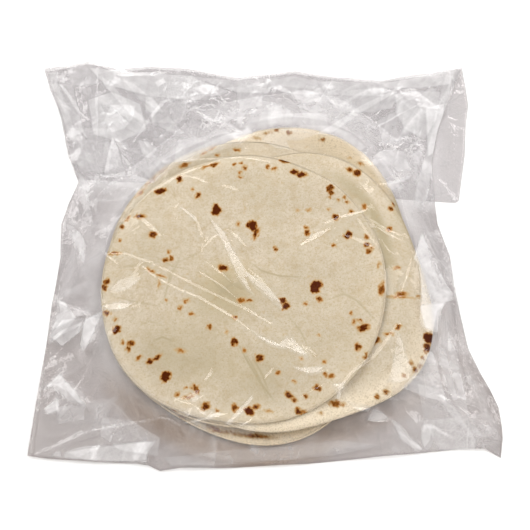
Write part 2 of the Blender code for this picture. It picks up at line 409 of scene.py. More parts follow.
def rim_lift(index, x, y, depth):
    """How far a tortilla curls up near its rim."""
    turn = np.arctan2(y - STACK[index][1], x - STACK[index][0])
    lift = 0.3 + 0.15 * np.sin(3 * turn + index) + 0.15 * np.sin(5 * turn + 2 * index)
    for where, way, spread, height in RIM_LIFTS:
        if where == index:
            off = abs((turn - math.radians(way) + math.pi) % (2 * math.pi) - math.pi)
            lift = lift + height * (1 - smooth_step(off, 0, math.radians(spread)))
    return lift * (1 - smooth_step(depth, 0, LIFT_REACH))


def surface_relief(index, x, y, depth):
    """The shallow hills and blisters of baked dough, none at the very rim."""
    hills = 0.22 * waves(x, y, 38, 60 + index) + 0.07 * waves(x, y, 11, 80 + index, 9)
    return hills * smooth_step(depth, 0.5, 9)


def spot_place(px, py, tops):
    """The tortilla that shows at a pixel, and where on it, found by a few closer guesses."""
    for index in reversed(range(len(STACK))):
        height = (index + 1) * THICKNESS
        for _ in range(6):
            x, y = from_pixel(px, py, height)
            height = sample(tops[index], x, y)
        if inset(index, x, y) > 0.4 or index == 0:
            return index, x, y


def toast_and_gap_shade_field(index, x, y, spots):
    """How toasted the dough is at each point, with painted shadow in the gaps between the lowest rims: 1 in
    its darkest spots, less round them.
    """
    toast_and_gap_shade = np.zeros(len(x))
    shift_x = 0.45 * waves(x, y, 4.2, 7, 9) + 0.25 * waves(x, y, 1.9, 17, 9)
    shift_y = 0.45 * waves(x, y, 4.2, 8, 9) + 0.25 * waves(x, y, 1.9, 18, 9)
    for number, (where, sx, sy, width, height, turn, darkness) in enumerate(spots):
        if where != index:
            continue
        near = np.nonzero((abs(x - sx) < width + 5) & (abs(y - sy) < height + 5))[0]
        draw = np.random.default_rng(900 + number)
        angle = math.radians(turn)
        away_x = x[near] - sx + shift_x[near]
        away_y = y[near] - sy + shift_y[near]
        along = (away_x * math.cos(angle) + away_y * math.sin(angle)) / (width / 2)
        across = (away_y * math.cos(angle) - away_x * math.sin(angle)) / (height / 2)
        nearest = np.full(len(near), 9.0)
        for _ in range(SPOT_LOBES):
            du, dv = draw.uniform(-0.42, 0.42, 2)
            size = draw.uniform(0.6, 0.85)
            nearest = np.minimum(nearest, np.hypot(along - du, across - dv) / size)
        beyond = (nearest - 1) * min(width, height) / 2
        core = (0.4 + 0.6 * darkness) * (1 - smooth_step(beyond, -1.2, 0.8))
        halo = (0.22 + 0.22 * darkness) * (1 - smooth_step(beyond, -0.2, 1.8))
        toast_and_gap_shade[near] = np.maximum(toast_and_gap_shade[near], np.maximum(core, halo))
    return toast_and_gap_shade


# Painted shade in the dough's creases, painted shadow beside the rims of the tortillas that lie
# above, and painted shade in the top tortilla's shallow greyer hollows, by the pixels they show
# at. The warm hollow is a pixel and a reach in pixels.
SHADED_CREASES = [
    # the tortilla, a weight, a width in pixels, and the line
    (7, 1.2, 1.5, [(250, 262), (262, 271), (280, 276), (301, 277)]),
    (7, 0.8, 1.4, [(153, 341), (162, 337), (173, 341)]),
    (7, 0.85, 1.5, [(176, 262), (170, 276), (163, 304)]),
    (7, 0.68, 1.5, [(158, 258), (172, 266), (190, 270)]),
    (7, 1.2, 1.5, [(238, 344), (248, 362), (260, 382), (275, 402)]),
    (7, 0.85, 1.5, [(244, 350), (256, 372), (268, 398)]),
    (7, 0.85, 1.5, [(340, 290), (356, 300), (368, 312), (377, 322)]),
    (7, 0.68, 1.5, [(120, 268), (140, 264), (160, 262)]),
    (7, 0.5, 1.5, [(140, 325), (150, 321), (161, 325)]),
    (7, 0.68, 1.5, [(222, 272), (232, 284), (244, 290)]),
    (7, 0.68, 1.5, [(112, 296), (136, 302), (160, 306)]),
    (7, 0.59, 1.5, [(203, 250), (192, 256), (178, 262)]),
    # these five, on the tortillas below the top one, are painted shadow beside the rims that lie over them
    (6, 1.2, 10, [(325, 172), (341, 180), (355, 190), (367, 203), (377, 220), (385, 242), (390, 268),
                  (391, 292)]),
    (6, 0.8, 12, [(382, 172), (396, 196), (405, 218), (411, 238), (414, 252)]),
    (6, 1, 2.2, [(391, 193), (398, 205), (403, 216), (406, 227)]),
    (3, 0.5, 5, [(310, 148), (330, 155), (345, 160), (365, 168), (382, 182)]),
    (3, 0.9, 12, [(386, 172), (398, 194), (406, 216), (409, 238)]),
    (7, 1, 1.5, [(205, 272), (222, 290), (240, 303)]),
    (7, 0.8, 1.5, [(214, 300), (228, 286), (246, 281)]),
    (7, 0.8, 1.5, [(182, 251), (176, 266), (166, 290)]),
    (7, 0.8, 1.5, [(288, 316), (300, 330), (309, 349)]),
    (7, 0.8, 1.5, [(326, 300), (344, 294), (362, 303)]),
    (7, 0.9, 1.5, [(252, 356), (262, 374), (268, 390)]),
]
WARM_HOLLOW = (230, 286, 38)
SHADED_HOLLOWS = [
    # pixel, reach across and down in pixels, and weight
    (240, 378, 74, 42, 0.9), (186, 366, 44, 30, 0.6), (250, 340, 130, 66, 0.35), (228, 290, 50, 44, 2.1),
    (152, 350, 40, 50, 0.5), (110, 310, 110, 130, 0.15), (190, 345, 70, 44, 0.9), (345, 348, 56, 46, 0.5),
    (356, 300, 26, 34, 0.4), (264, 386, 22, 30, 0.4), (300, 262, 50, 40, 0.15), (205, 190, 90, 22, 0.12),
]


def painted_shade_field(index, points):
    """How much painted shade a tortilla has at each point, in creases, hollows and beside rims above, from
    0 to about 1.
    """
    seen_at = to_pixels(points)
    painted_shade = np.zeros(len(points))
    for where, weight, width, line in SHADED_CREASES:
        if where == index:
            away, share, _ = from_line(seen_at, line)
            ends = 0.3 + 0.7 * np.sin(math.pi * share)
            painted_shade = np.maximum(painted_shade, weight * ends * (1 - smooth_step(away, 0.1 * width, width)))
    if index != TOP:
        return painted_shade
    for px, py, reach_x, reach_y, weight in SHADED_HOLLOWS:
        gap = np.hypot((seen_at[:, 0] - px) / reach_x, (seen_at[:, 1] - py) / reach_y)
        painted_shade = painted_shade + 0.5 * weight * (1 - smooth_step(gap, 0.1, 1))
    return painted_shade


def warm_field(index, points, rim_depth):
    """How yellow a tortilla is: most on the front rims and in the hollow of the top one."""
    x, y = points[:, 0], points[:, 1]
    front = (1 - smooth_step(rim_depth, 1, 10)) * smooth_step(-y, 40, 110)
    if index == TOP:
        px, py, reach = WARM_HOLLOW
        away = np.hypot(*(to_pixels(points) - (px, py)).T)
        return 0.2 * front + 0.8 * (1 - smooth_step(away, 0.2 * reach, reach))
    if index == RIGHT:
        return 0.2 * front
    if index == HIGH:
        inner = 0.5 * (1 - smooth_step(rim_depth, 6, 26))
        return front + inner * smooth_step(x, 15, 50) * smooth_step(y, 25, 60)
    return front


def pale_and_lit_rim_field(index, y, rim_depth):
    """How pale a tortilla is near its rim, partly its own paler dough and partly painted light: most at the
    front, and one at the back as well.
    """
    reach = 40 if index < HIGH else 24
    least = 0.6 if index == TOP else 0.12
    share = least + (1 - least) * smooth_step(-y, 20, 90)
    if index == HIGH:
        share += 0.8 * smooth_step(y, 40, 80)
    return (1 - smooth_step(rim_depth, 2, reach)) * share * {TOP: 0.15, RIGHT: 0.8}.get(index, 1)


def ring_depths(index):
    """How deep inside the rim each ring is, from the middle out. Those of the rounded rim run
    from its edge inwards and then come back to it, so the strip of the rim is folded over."""
    if index == TOP:
        shares = np.linspace(0, 1, TOP_RINGS)[1:]
    else:
        shares = np.linspace(0, 1, LOWER_RINGS)[1:] ** 0.5
    flat = RIM_ROUNDING + (1 - shares) * (MIDDLE_DEPTH - RIM_ROUNDING)
    rounded = RIM_ROUNDING * (1 - np.cos(np.linspace(0, math.pi / 2, RIM_RINGS)))[:-1]
    return [*flat, *rounded, 0]


def ring_radius(rim, depth):
    """A ring's radius in each direction."""
    mean = rim.mean()
    if depth < UNEVEN_DEPTH:
        radius = rim - depth
    else:
        radius = (mean - depth) + (rim - mean) * (MIDDLE_DEPTH - depth) / (MIDDLE_DEPTH - UNEVEN_DEPTH)
    return np.maximum(radius, HOLE_RADIUS)


def tortilla_rings(index, bed, sectors):
    """Rings of points over a round's top and back underneath, the depth of each ring, and how
    many of them are on top."""
    turn = np.arange(sectors) / sectors * 2 * math.pi
    rim = tortilla_rim(index, turn)
    depths = ring_depths(index)
    upper, lower = [], []
    for depth in depths:
        radius = ring_radius(rim, depth)
        x = STACK[index][0] + radius * np.cos(turn)
        y = STACK[index][1] + radius * np.sin(turn)
        low = sample(bed, x, y)
        high = low + dough_thickness(depth) + surface_relief(index, x, y, depth)
        upper.append(np.stack([x, y, high], -1))
        lift = UNDERSIDE_LIFT * (1 - min(depth / RIM_ROUNDING, 1))
        lower.append(np.stack([x, y, low + lift], -1))
    back = list(range(len(depths) - 2, -1, -1))
    back = back[:RIM_RINGS] + back[RIM_RINGS::UNDERSIDE_STEP]
    rings = upper + [lower[ring] for ring in back]
    return rings, depths + [depths[ring] for ring in back], len(upper)


def ring_faces(count, sectors):
    """The quads between rings of points, and a face that closes each end."""
    here = np.arange(sectors)
    beside = (here + 1) % sectors
    quads = np.stack([here, here + sectors, beside + sectors, beside], -1)
    faces = np.concatenate([quads + ring * sectors for ring in range(count - 1)]).tolist()
    faces.append(list(range(sectors)))
    faces.append(list(range((count - 1) * sectors, count * sectors))[::-1])
    return faces


def make_tortilla(index, bed, spots, material):
    """A closed round of dough: rings of points over its top, round the rim and underneath."""
    sectors = TOP_SECTORS if index == TOP else LOWER_SECTORS
    rings, depths, top_rings = tortilla_rings(index, bed, sectors)
    points = np.concatenate(rings)
    faces = ring_faces(len(rings), sectors)
    piece = add_mesh(f"tortilla_{index + 1}", points, faces, material)
    on_top = np.arange(len(points)) < top_rings * sectors
    rim_depth = np.repeat(depths, sectors)
    toast_and_gap_shade = toast_and_gap_shade_field(index, points[:, 0], points[:, 1], spots)
    add_field(piece, "toast_and_gap_shade", np.where(on_top, toast_and_gap_shade, 0))
    add_field(piece, "painted_shade", np.where(on_top, painted_shade_field(index, points), 0))
    add_field(piece, "rim", pale_and_lit_rim_field(index, points[:, 1], rim_depth))
    add_field(piece, "warm", warm_field(index, points, rim_depth))


# ---------------------------------------------------------------- the film

BOTTOM_SIDE = [
    (-154, -147), (-138, -149), (-108, -151), (-81, -152), (-74, -153), (-66, -157), (-53, -155),
    (-24, -155), (31, -152), (94, -146), (132, -142), (149, -142), (159, -148)
]
TOP_SIDE = [
    (-163, 153), (-149, 155), (-131, 159), (-123, 158), (-107, 152), (-85, 155), (-55, 153),
    (-37, 149), (-18, 145), (6, 148), (25, 151), (46, 147), (82, 143), (92, 143), (104, 146),
    (128, 149), (140, 152), (152, 155)
]
LEFT_SIDE = [
    (-154, -147), (-151, -113), (-147, -70), (-145, -39), (-141, -3), (-142, 23), (-138, 40),
    (-132, 57), (-134, 64), (-140, 79), (-147, 111), (-157, 134), (-163, 153)
]
RIGHT_SIDE = [
    (159, -148), (161, -135), (161, -127), (160, -113), (155, -100), (148, -86), (142, -71),
    (137, -39), (135, -25), (133, 0), (126, 23), (125, 40), (124, 74), (130, 100), (139, 125),
    (152, 155)
]
OUTLINE = (BOTTOM_SIDE, TOP_SIDE, LEFT_SIDE, RIGHT_SIDE)
FRONT_ROWS, FRONT_COLUMNS = 436, 448
FRONT_PIECES = 2
SHEET_SPAN = 315
BACK_ROWS, BACK_COLUMNS = 155, 158
HALF_SPAN = 163
WINDOW_SLACK = 24  # as the grid's rows and columns aren't quite straight
FOLD_AREA = (165, 160)  # folds start within this, each way from the middle
FOLD_STRAY = 0.45  # in radians
FILM_GAP = 0.35  # over the dough
FILM_ON_FLAP = 0.35  # of the lower film, over the folded-under mouth
FILM_SLACK = 1
FILM_TOP = 20.2
RIM_FALL = 1.6
TENT_SLOPE = 0.64
EDGE_REACH, SLACK_REACH = 16, 26
DRAPE_PULL = 0.002  # towards the wanted heights, where keeping to the wanted steps counts 1
RELAX_ROUNDS = 360
RELAX_OVERSHOOT = 1.75
SHINE_HOLD = 60  # how much more the steps of a shining part count
STEP_ENDS = ((np.s_[:, 1:], np.s_[:, :-1]), (np.s_[1:], np.s_[:-1]))  # of steps across and up
FOLD_SPREAD = 0.95
# painted sheen: how strongly the milky patches show, and the pale wash laid over the shining facets
PATCH_MILK_AND_SHEEN = 0.6
FACET_SHEEN = 0.1

# Where flat parts of the upper film mirror the arc: the way that each leans, in degrees from
# +X, and the pixels that it shows at.
SHINING_FACETS = [
    (45, [(208, 216), (218, 224), (226, 233), (232, 246), (238, 256), (245, 268), (250, 275),
          (246, 279), (250, 288), (256, 297), (247, 291), (239, 281), (233, 268), (228, 255),
          (221, 240), (214, 227)]),
    (45, [(246, 272), (256, 277), (268, 287), (280, 300), (284, 309), (280, 309), (270, 300),
          (258, 290), (249, 281)]),
    (45, [(178, 207), (184, 208), (194, 215), (198, 222), (192, 219), (184, 212)]),
    (90, [(249, 329), (263, 336), (279, 344), (290, 333), (309, 358), (302, 358), (288, 350),
          (272, 347), (258, 338)]),
    (90, [(290, 363), (300, 367), (325, 366), (318, 374), (308, 375), (298, 371)]),
    (180, [(108, 289), (118, 280), (133, 277), (143, 278), (130, 288), (118, 292)]),
    (90, [(100, 306), (116, 301), (134, 301), (126, 309), (110, 312)]),
    (180, [(82, 328), (86, 318), (97, 315), (104, 318), (97, 334), (85, 351)]),
    (135, [(50, 318), (68, 309), (84, 305), (92, 311), (74, 318), (52, 333)]),
    (90, [(332, 384), (346, 381), (342, 392), (338, 401), (336, 393)]),
    (0, [(399, 331), (403, 343), (407, 357), (413, 368), (409, 378), (400, 383), (387, 382), (391, 372),
         (395, 350)]),
    (0, [(422, 229), (417, 245), (414, 258), (419, 263), (421, 277), (422, 300), (419, 318), (421, 326),
         (430, 332), (437, 333), (438, 320), (441, 310), (449, 302), (454, 299), (441, 284), (431, 262),
         (426, 240)]),
    (0, [(447, 316), (452, 326), (456, 345), (462, 375), (468, 402), (460, 398), (452, 375), (448, 350)]),
    (0, [(436, 345), (446, 350), (450, 372), (458, 398), (452, 402), (444, 385), (440, 368)]),
    (135, [(374, 407), (384, 412), (391, 421), (378, 422), (368, 420), (371, 414)]),
    (135, [(391, 417), (400, 424), (410, 437), (424, 452), (417, 453), (402, 441)]),
    (0, [(421, 424), (435, 423), (433, 444), (426, 453), (422, 440)]),
    (90, [(347, 402), (358, 403), (371, 406), (367, 412), (357, 410)]),
    (180, [(66, 452), (80, 447), (152, 441), (147, 450), (146, 462), (110, 462), (84, 460)]),
    (180, [(112, 137), (118, 148), (122, 163), (126, 175), (116, 172), (103, 178), (107, 160)]),
    (90, [(193, 88), (204, 85), (216, 86), (231, 92), (220, 95), (206, 96)]),
    (90, [(292, 92), (304, 90), (318, 93), (321, 99), (308, 103), (296, 99)]),
    (180, [(45, 386), (56, 374), (62, 376), (72, 388), (84, 406), (70, 402), (58, 392)]),
    (180, [(44, 410), (56, 398), (60, 412), (50, 416)]),
    (180, [(70, 232), (78, 229), (87, 244), (84, 262), (75, 256)]),
    (180, [(78, 184), (84, 186), (90, 204), (94, 226), (88, 222), (80, 200)]),
    (180, [(58, 299), (66, 301), (68, 311), (60, 312)]),
    (45, [(435, 177), (441, 181), (453, 198), (449, 200), (441, 190)]),
    (135, [(185, 396), (196, 390), (200, 398), (192, 404)]),
    (90, [(200, 412), (212, 409), (222, 413), (210, 420)]),
    (135, [(224, 427), (233, 414), (252, 394), (254, 397), (244, 412), (232, 424)]),
    (0, [(492, 452), (499, 450), (502, 458), (497, 461)]),
]

# Long narrow folds of the upper film that mirror it: a width in pixels, and the line.
SHINING_FOLDS = [
    (2.2, [(195, 216), (200, 229), (203, 240), (202, 251)]),
    (3.2, [(142, 219), (150, 226), (160, 234)]),
    (2.4, [(104, 254), (126, 254), (150, 262), (180, 277), (208, 291), (243, 307), (272, 324)]),
    (2, [(104, 255), (118, 264)]),
    (2.4, [(142, 267), (155, 277), (180, 290), (199, 297), (237, 319), (250, 330)]),
    (1.5, [(163, 162), (200, 159), (240, 157), (262, 160), (282, 164)]),
    (1.3, [(132, 209), (150, 192), (175, 177), (200, 167), (220, 160)]),
    (1.8, [(186, 176), (198, 178), (207, 182)]),
    (2.2, [(223, 186), (231, 187), (238, 190)]),
    (2, [(231, 231), (238, 237), (246, 246)]),
    (1.8, [(205, 246), (211, 239), (218, 234)]),
    (1.8, [(248, 268), (260, 278), (271, 290)]),
    (1.6, [(198, 271), (220, 284), (238, 299)]),
    (1.6, [(206, 262), (224, 275), (232, 283)]),
    (3.2, [(302, 244), (316, 236), (331, 228)]),
    (2.6, [(327, 222), (345, 216), (366, 211)]),
    (2.4, [(345, 235), (358, 240), (371, 247)]),
    (2.4, [(358, 219), (366, 232), (374, 243)]),
    (2, [(372, 219), (386, 229), (402, 236)]),
    (1.8, [(376, 226), (388, 234), (400, 241)]),
    (1.6, [(382, 240), (388, 250), (394, 255)]),
    (1.8, [(372, 184), (390, 182), (408, 180)]),
    (2, [(376, 152), (390, 150), (402, 147)]),
    (2, [(412, 256), (408, 272), (401, 292)]),
    (3, [(396, 325), (388, 338), (375, 355), (360, 366), (350, 374), (343, 383)]),
    (2.4, [(340, 390), (338, 402)]),
    (2, [(388, 390), (399, 397), (410, 408), (419, 421), (424, 430)]),
    (2, [(411, 403), (418, 412), (426, 426)]),
    (2, [(434, 424), (442, 432), (452, 438)]),
    (2, [(298, 398), (313, 390), (329, 381)]),
    (2, [(264, 379), (270, 372), (274, 367)]),
    (2.2, [(205, 380), (210, 374), (212, 367)]),
    (2, [(240, 427), (253, 419)]),
    (2.2, [(184, 425), (205, 420), (230, 413)]),
    (2, [(188, 418), (193, 404), (197, 392)]),
    (2, [(180, 402), (194, 406), (206, 417)]),
    (2.4, [(28, 457), (55, 446), (81, 433), (120, 425), (160, 417)]),
    (2, [(160, 417), (170, 418), (180, 427)]),
    (2.2, [(60, 303), (70, 304), (82, 307), (92, 317), (98, 331)]),
    (2, [(46, 346), (62, 333), (82, 321)]),
    (2.2, [(69, 219), (75, 202), (83, 185)]),
    (2.4, [(46, 72), (52, 92), (62, 120), (70, 146)]),
    (2, [(60, 85), (70, 98), (80, 113), (91, 121)]),
    (2, [(134, 141), (146, 124), (160, 105)]),
    (2.4, [(198, 117), (214, 122), (240, 128)]),
    (2, [(84, 62), (110, 66), (128, 72)]),
    (2.2, [(120, 76), (150, 74), (178, 72)]),
    (2, [(459, 72), (452, 100), (446, 130)]),
    (2, [(441, 140), (434, 165), (428, 190), (424, 208)]),
    (2.4, [(446, 145), (452, 143), (460, 142)]),
    (2, [(455, 121), (463, 126), (470, 135)]),
    (2.2, [(424, 231), (430, 250), (438, 268), (452, 292)]),
    (2.2, [(444, 312), (440, 345), (447, 390), (458, 408), (470, 416)]),
    (2.4, [(452, 305), (457, 340), (464, 375), (472, 411)]),
    (2, [(470, 368), (478, 376), (486, 386)]),
    (2, [(440, 395), (462, 412), (484, 432)]),
    (2.2, [(400, 428), (412, 441), (425, 452)]),
    (2, [(96, 236), (108, 228), (120, 214)]),
    (2, [(101, 178), (126, 176), (152, 176)]),
]

# Patches where film lies double or is rubbed and looks milky, many of them painted sheen that
# stands for pale reflections: a weight, and the pixels that each shows at. A weight below 0 is a
# clearer patch in a milky one.
MILKY_AND_SHEEN_PATCHES = [
    # the top, from the left
    (0.15, [(48, 73), (55, 71), (60, 90), (70, 116), (77, 140), (69, 141), (58, 112)]),
    (0.26, [(111, 105), (121, 104), (135, 106), (133, 118), (124, 129), (112, 132), (104, 120)]),
    (0.22, [(102, 77), (110, 82), (137, 112), (150, 123), (145, 126), (131, 115), (104, 85)]),
    (0.22, [(124, 80), (134, 84), (158, 104), (163, 112), (150, 112), (136, 96)]),
    (0.25, [(146, 97), (152, 97), (160, 108), (152, 118), (145, 112)]),
    (0.35, [(155, 82), (163, 78), (166, 82), (158, 87)]),
    (0.14, [(158, 122), (168, 116), (184, 133), (176, 135), (160, 127)]),
    (0.05, [(136, 137), (160, 138), (200, 138), (216, 128), (244, 132), (222, 140), (206, 148),
            (186, 158), (160, 164), (150, 156), (142, 150)]),
    (0.22, [(138, 140), (148, 142), (158, 150), (148, 158), (142, 152)]),
    (0.06, [(206, 136), (222, 122), (240, 104), (258, 86), (268, 86), (252, 106), (240, 122),
            (228, 133)]),
    (0.12, [(196, 118), (206, 117), (228, 122), (246, 132), (232, 127), (212, 122)]),
    (0.22, [(76, 170), (82, 176), (98, 200), (96, 212), (88, 202)]),
    (0.04, [(104, 176), (128, 174), (152, 176), (150, 190), (128, 200), (112, 214), (100, 200)]),
    (0.12, [(70, 128), (104, 128), (112, 150), (108, 172), (80, 172), (74, 150)]),
    (0.16, [(66, 66), (96, 64), (98, 84), (72, 86)]),
    (0.2, [(52, 84), (72, 84), (84, 132), (70, 138)]),
    (0.14, [(148, 96), (186, 96), (186, 124), (152, 122)]),
    (0.16, [(236, 88), (262, 86), (262, 106), (240, 110)]),
    (0.11, [(262, 112), (300, 110), (326, 116), (330, 132), (310, 130), (280, 128), (256, 130)]),
    # the top, in the middle and on the right
    (0.02, [(258, 90), (300, 92), (330, 92), (338, 104), (322, 124), (330, 133), (300, 130), (240, 134),
            (250, 112)]),
    (-0.2, [(262, 100), (272, 88), (290, 94), (304, 116), (294, 116), (284, 104)]),
    (0.12, [(268, 108), (276, 104), (282, 112), (284, 124), (268, 124)]),
    (0.22, [(316, 134), (330, 126), (360, 106), (402, 86), (396, 92), (362, 112), (330, 134)]),
    (0.18, [(340, 104), (360, 92), (372, 88), (352, 100), (340, 108)]),
    (0.26, [(396, 94), (412, 91), (440, 92), (436, 120), (424, 140), (404, 128), (396, 112)]),
    (0.22, [(446, 74), (452, 76), (446, 110), (436, 150), (428, 190), (424, 210), (412, 210),
            (418, 180), (430, 140), (438, 104)]),
    (0.34, [(384, 83), (420, 77), (456, 70), (450, 84), (420, 88), (384, 88)]),
    (0.22, [(190, 76), (236, 81), (292, 76), (320, 81), (384, 83), (384, 96), (300, 94), (236, 92)]),
    (0.34, [(90, 68), (130, 72), (190, 76), (214, 86), (200, 100), (150, 96), (104, 84)]),
    (0.32, [(88, 100), (112, 92), (140, 104), (146, 130), (120, 142), (94, 134)]),
    (0.34, [(426, 108), (444, 104), (440, 150), (428, 156)]),
    (0.14, [(372, 152), (396, 149), (404, 152), (410, 168), (398, 172), (384, 160)]),
    (0.08, [(404, 160), (420, 148), (424, 160), (414, 186), (406, 180)]),
    (0.2, [(330, 100), (352, 90), (384, 88), (398, 96), (392, 108), (372, 112), (344, 112), (334, 108)]),
    # over the upper rims
    (-0.12, [(180, 120), (200, 118), (226, 122), (236, 132), (206, 140), (186, 134)]),
    (0.2, [(172, 162), (196, 148), (222, 136), (248, 128), (256, 134), (240, 144), (214, 153),
           (190, 162)]),
    (0.2, [(280, 130), (304, 125), (330, 126), (350, 133), (366, 147), (360, 151), (342, 140),
           (318, 134)]),
    (0.2, [(268, 133), (284, 129), (304, 131), (318, 134), (300, 140), (286, 140), (290, 150),
           (276, 148), (262, 140)]),
    # the left
    (0.24, [(63, 222), (72, 226), (84, 236), (84, 262), (80, 256), (76, 246), (70, 232)]),
    (0.36, [(57, 300), (66, 303), (76, 318), (66, 330), (50, 344), (48, 336), (56, 320)]),
    (0.5, [(80, 345), (84, 320), (104, 310), (96, 326), (92, 336), (83, 352)]),
    (0.4, [(47, 386), (60, 374), (66, 382), (76, 392), (84, 404), (78, 402), (66, 390), (58, 386)]),
    (0.4, [(44, 408), (58, 398), (58, 410), (48, 414)]),
    (0.12, [(76, 400), (96, 400), (120, 396), (98, 430), (92, 432), (96, 416)]),
    (0.3, [(50, 455), (60, 450), (62, 458)]),
    (0.38, [(64, 453), (84, 449), (120, 445), (156, 441), (148, 452), (146, 462), (100, 461), (64, 458)]),
    (0.06, [(86, 225), (92, 250), (96, 290), (88, 300), (80, 270)]),
    # the right and the bottom right
    (0.28, [(414, 258), (422, 234), (428, 246), (437, 266), (455, 299), (444, 303), (437, 312),
            (433, 331), (424, 326), (420, 308), (421, 288), (419, 268)]),
    (0.18, [(440, 312), (446, 316), (452, 345), (462, 380), (470, 420), (460, 414), (452, 398),
            (444, 372), (438, 345)]),
    (0.36, [(421, 358), (432, 350), (440, 375), (446, 402), (428, 398), (402, 388), (414, 374)]),
    (0.1, [(470, 420), (486, 410), (498, 425), (500, 440), (480, 436)]),
    (0.3, [(372, 408), (382, 412), (388, 418), (376, 422), (366, 420)]),
    (0.3, [(390, 418), (404, 428), (424, 450), (416, 450), (400, 438)]),
    (0.3, [(424, 424), (432, 424), (430, 440), (424, 448), (420, 440)]),
    (0.22, [(440, 398), (456, 408), (484, 436), (470, 434), (448, 412)]),
    (0.24, [(418, 384), (444, 390), (476, 440), (474, 456), (440, 452), (424, 420)]),
    (0.26, [(54, 384), (72, 382), (86, 396), (84, 420), (58, 424)]),
    (0.26, [(165, 458), (230, 450), (290, 446), (340, 440), (380, 446), (330, 456), (240, 464),
            (170, 466)]),
    (0.28, [(103, 418), (130, 420), (160, 438), (158, 456), (120, 450), (100, 436)]),
    (0.5, [(50, 336), (62, 320), (84, 318), (80, 332), (62, 346)]),
    (0.14, [(40, 408), (108, 402), (112, 440), (100, 460), (34, 456)]),
    (0.12, [(178, 408), (198, 407), (232, 419), (258, 426), (250, 436), (220, 432), (196, 424)]),
    (0.14, [(404, 420), (470, 418), (498, 430), (498, 450), (420, 450)]),
    (0.1, [(392, 378), (470, 372), (502, 440), (495, 455), (392, 452)]),
    (0.3, [(420, 306), (444, 303), (438, 333), (426, 328)]),
]

# Creases of the upper film darkened with painted shade: a weight, and the line in pixels.
SHADED_FILM_CREASES = [
    (0.5, [(136, 137), (160, 138), (200, 138), (216, 127)]),
    (0.4, [(330, 133), (360, 113), (380, 103)]),
    (0.4, [(345, 135), (380, 147), (400, 146)]),
    (0.4, [(291, 94), (300, 106), (306, 117)]),
    (0.5, [(448, 76), (442, 104), (436, 130), (430, 165)]),
    (0.6, [(437, 345), (440, 372), (452, 400), (470, 432)]),
    (0.6, [(448, 312), (456, 350), (466, 380), (470, 415)]),
    (0.5, [(425, 230), (440, 262), (455, 299)]),
    (0.4, [(386, 386), (410, 392), (440, 408), (462, 424)]),
    (0.4, [(84, 449), (128, 443), (156, 440)]),
    (0.4, [(60, 448), (100, 436), (150, 420)]),
    (0.4, [(69, 142), (78, 168), (84, 180)]),
    (0.4, [(100, 177), (124, 176), (152, 177)]),
    (0.3, [(122, 80), (150, 92), (182, 100)]),
    (0.3, [(188, 74), (236, 84), (300, 88)]),
]

# Small crumpled places in the upper film: a pixel, a reach in pixels, and how crumpled.
CRUMPLED_PLACES = [
    (392, 160, 26, 1.0), (200, 403, 18, 1.0), (62, 305, 16, 0.8), (74, 240, 18, 0.6), (305, 96, 18, 0.6),
    (160, 118, 24, 0.7), (112, 118, 24, 0.7), (420, 414, 20, 0.8), (390, 236, 12, 0.8), (55, 340, 24, 0.5),
    (60, 390, 26, 0.4), (468, 420, 26, 0.5), (440, 190, 22, 0.4), (208, 90, 24, 0.5), (60, 100, 20, 0.6),
    (272, 225, 20, 0.15), (160, 150, 20, 0.5), (470, 380, 20, 0.4),
]


def side_points(side, count):
    """A side in count steps of nearly equal length, with each bend of its edge kept."""
    lengths = [math.dist(a, b) for a, b in zip(side, side[1:])]
    bends = [round(count * sum(lengths[:index]) / sum(lengths)) for index in range(len(side))]
    points = [np.array(side[0], float)]
    for start, end, first, last in zip(side, side[1:], bends, bends[1:]):
        for step in range(1, last - first + 1):
            points.append(np.array(start) + (np.array(end) - start) * step / (last - first))
    return np.array(points)


def sheet_places(sides, rows, columns):
    """Rows of places across a sheet, blended from its four sides."""
    bottom, top = side_points(sides[0], columns), side_points(sides[1], columns)
    left, right = side_points(sides[2], rows), side_points(sides[3], rows)
    u = (np.arange(columns + 1) / columns)[None, :, None]
    v = (np.arange(rows + 1) / rows)[:, None, None]
    return (
        (1 - v) * bottom[None]
        + v * top[None]
        + (1 - u) * left[:, None]
        + u * right[:, None]
        - (1 - u) * (1 - v) * bottom[0]
        - u * (1 - v) * bottom[-1]
        - (1 - u) * v * top[0]
        - u * v * top[-1]
    )


def border(shape):
    rim = np.zeros(shape, bool)
    rim[[0, -1], :] = True
    rim[:, [0, -1]] = True
    return rim


def window(places, x, y, reach):
    """The part of a sheet's grid that can be within reach of a place."""
    slack = reach + WINDOW_SLACK
    parts = []
    for value, count in zip((y, x), places.shape[:2]):
        ends = [(value + side + HALF_SPAN) / (2 * HALF_SPAN) for side in (-slack, slack)]
        parts.append(slice(*(max(int(end * count), 0) for end in ends)))
    return tuple(parts)


def folds(places, seed, count, reach, flanks, steepness, ways):
    """Pinched folds with flat flanks. Ways is "out", from the stack, "along" it, or "any"."""
    draw = np.random.default_rng(seed)
    total = np.zeros(places.shape[:2])
    for _ in range(count):
        cx, cy = (draw.uniform(-limit, limit) for limit in FOLD_AREA)
        turn = draw.uniform(0, math.pi)
        if ways != "any":
            turn = math.atan2(cy - STACK_MIDDLE_Y, cx) + (math.pi / 2 if ways == "along" else 0)
            turn += draw.normal(0, FOLD_STRAY)
        length = draw.uniform(*reach)
        near, far = draw.uniform(*flanks[0]), draw.uniform(*flanks[1])
        height = draw.uniform(*steepness) * near * draw.choice([-1, 1, 1])
        part = window(places, cx, cy, max(length, near, far))
        away = places[part] - (cx, cy)
        along = abs(away[..., 0] * math.cos(turn) + away[..., 1] * math.sin(turn)) / length
        across = away[..., 1] * math.cos(turn) - away[..., 0] * math.sin(turn)
        across = np.where(across > 0, across / near, -across / far)
        total[part] += height * np.clip(1 - along - across, 0, None)
    return total


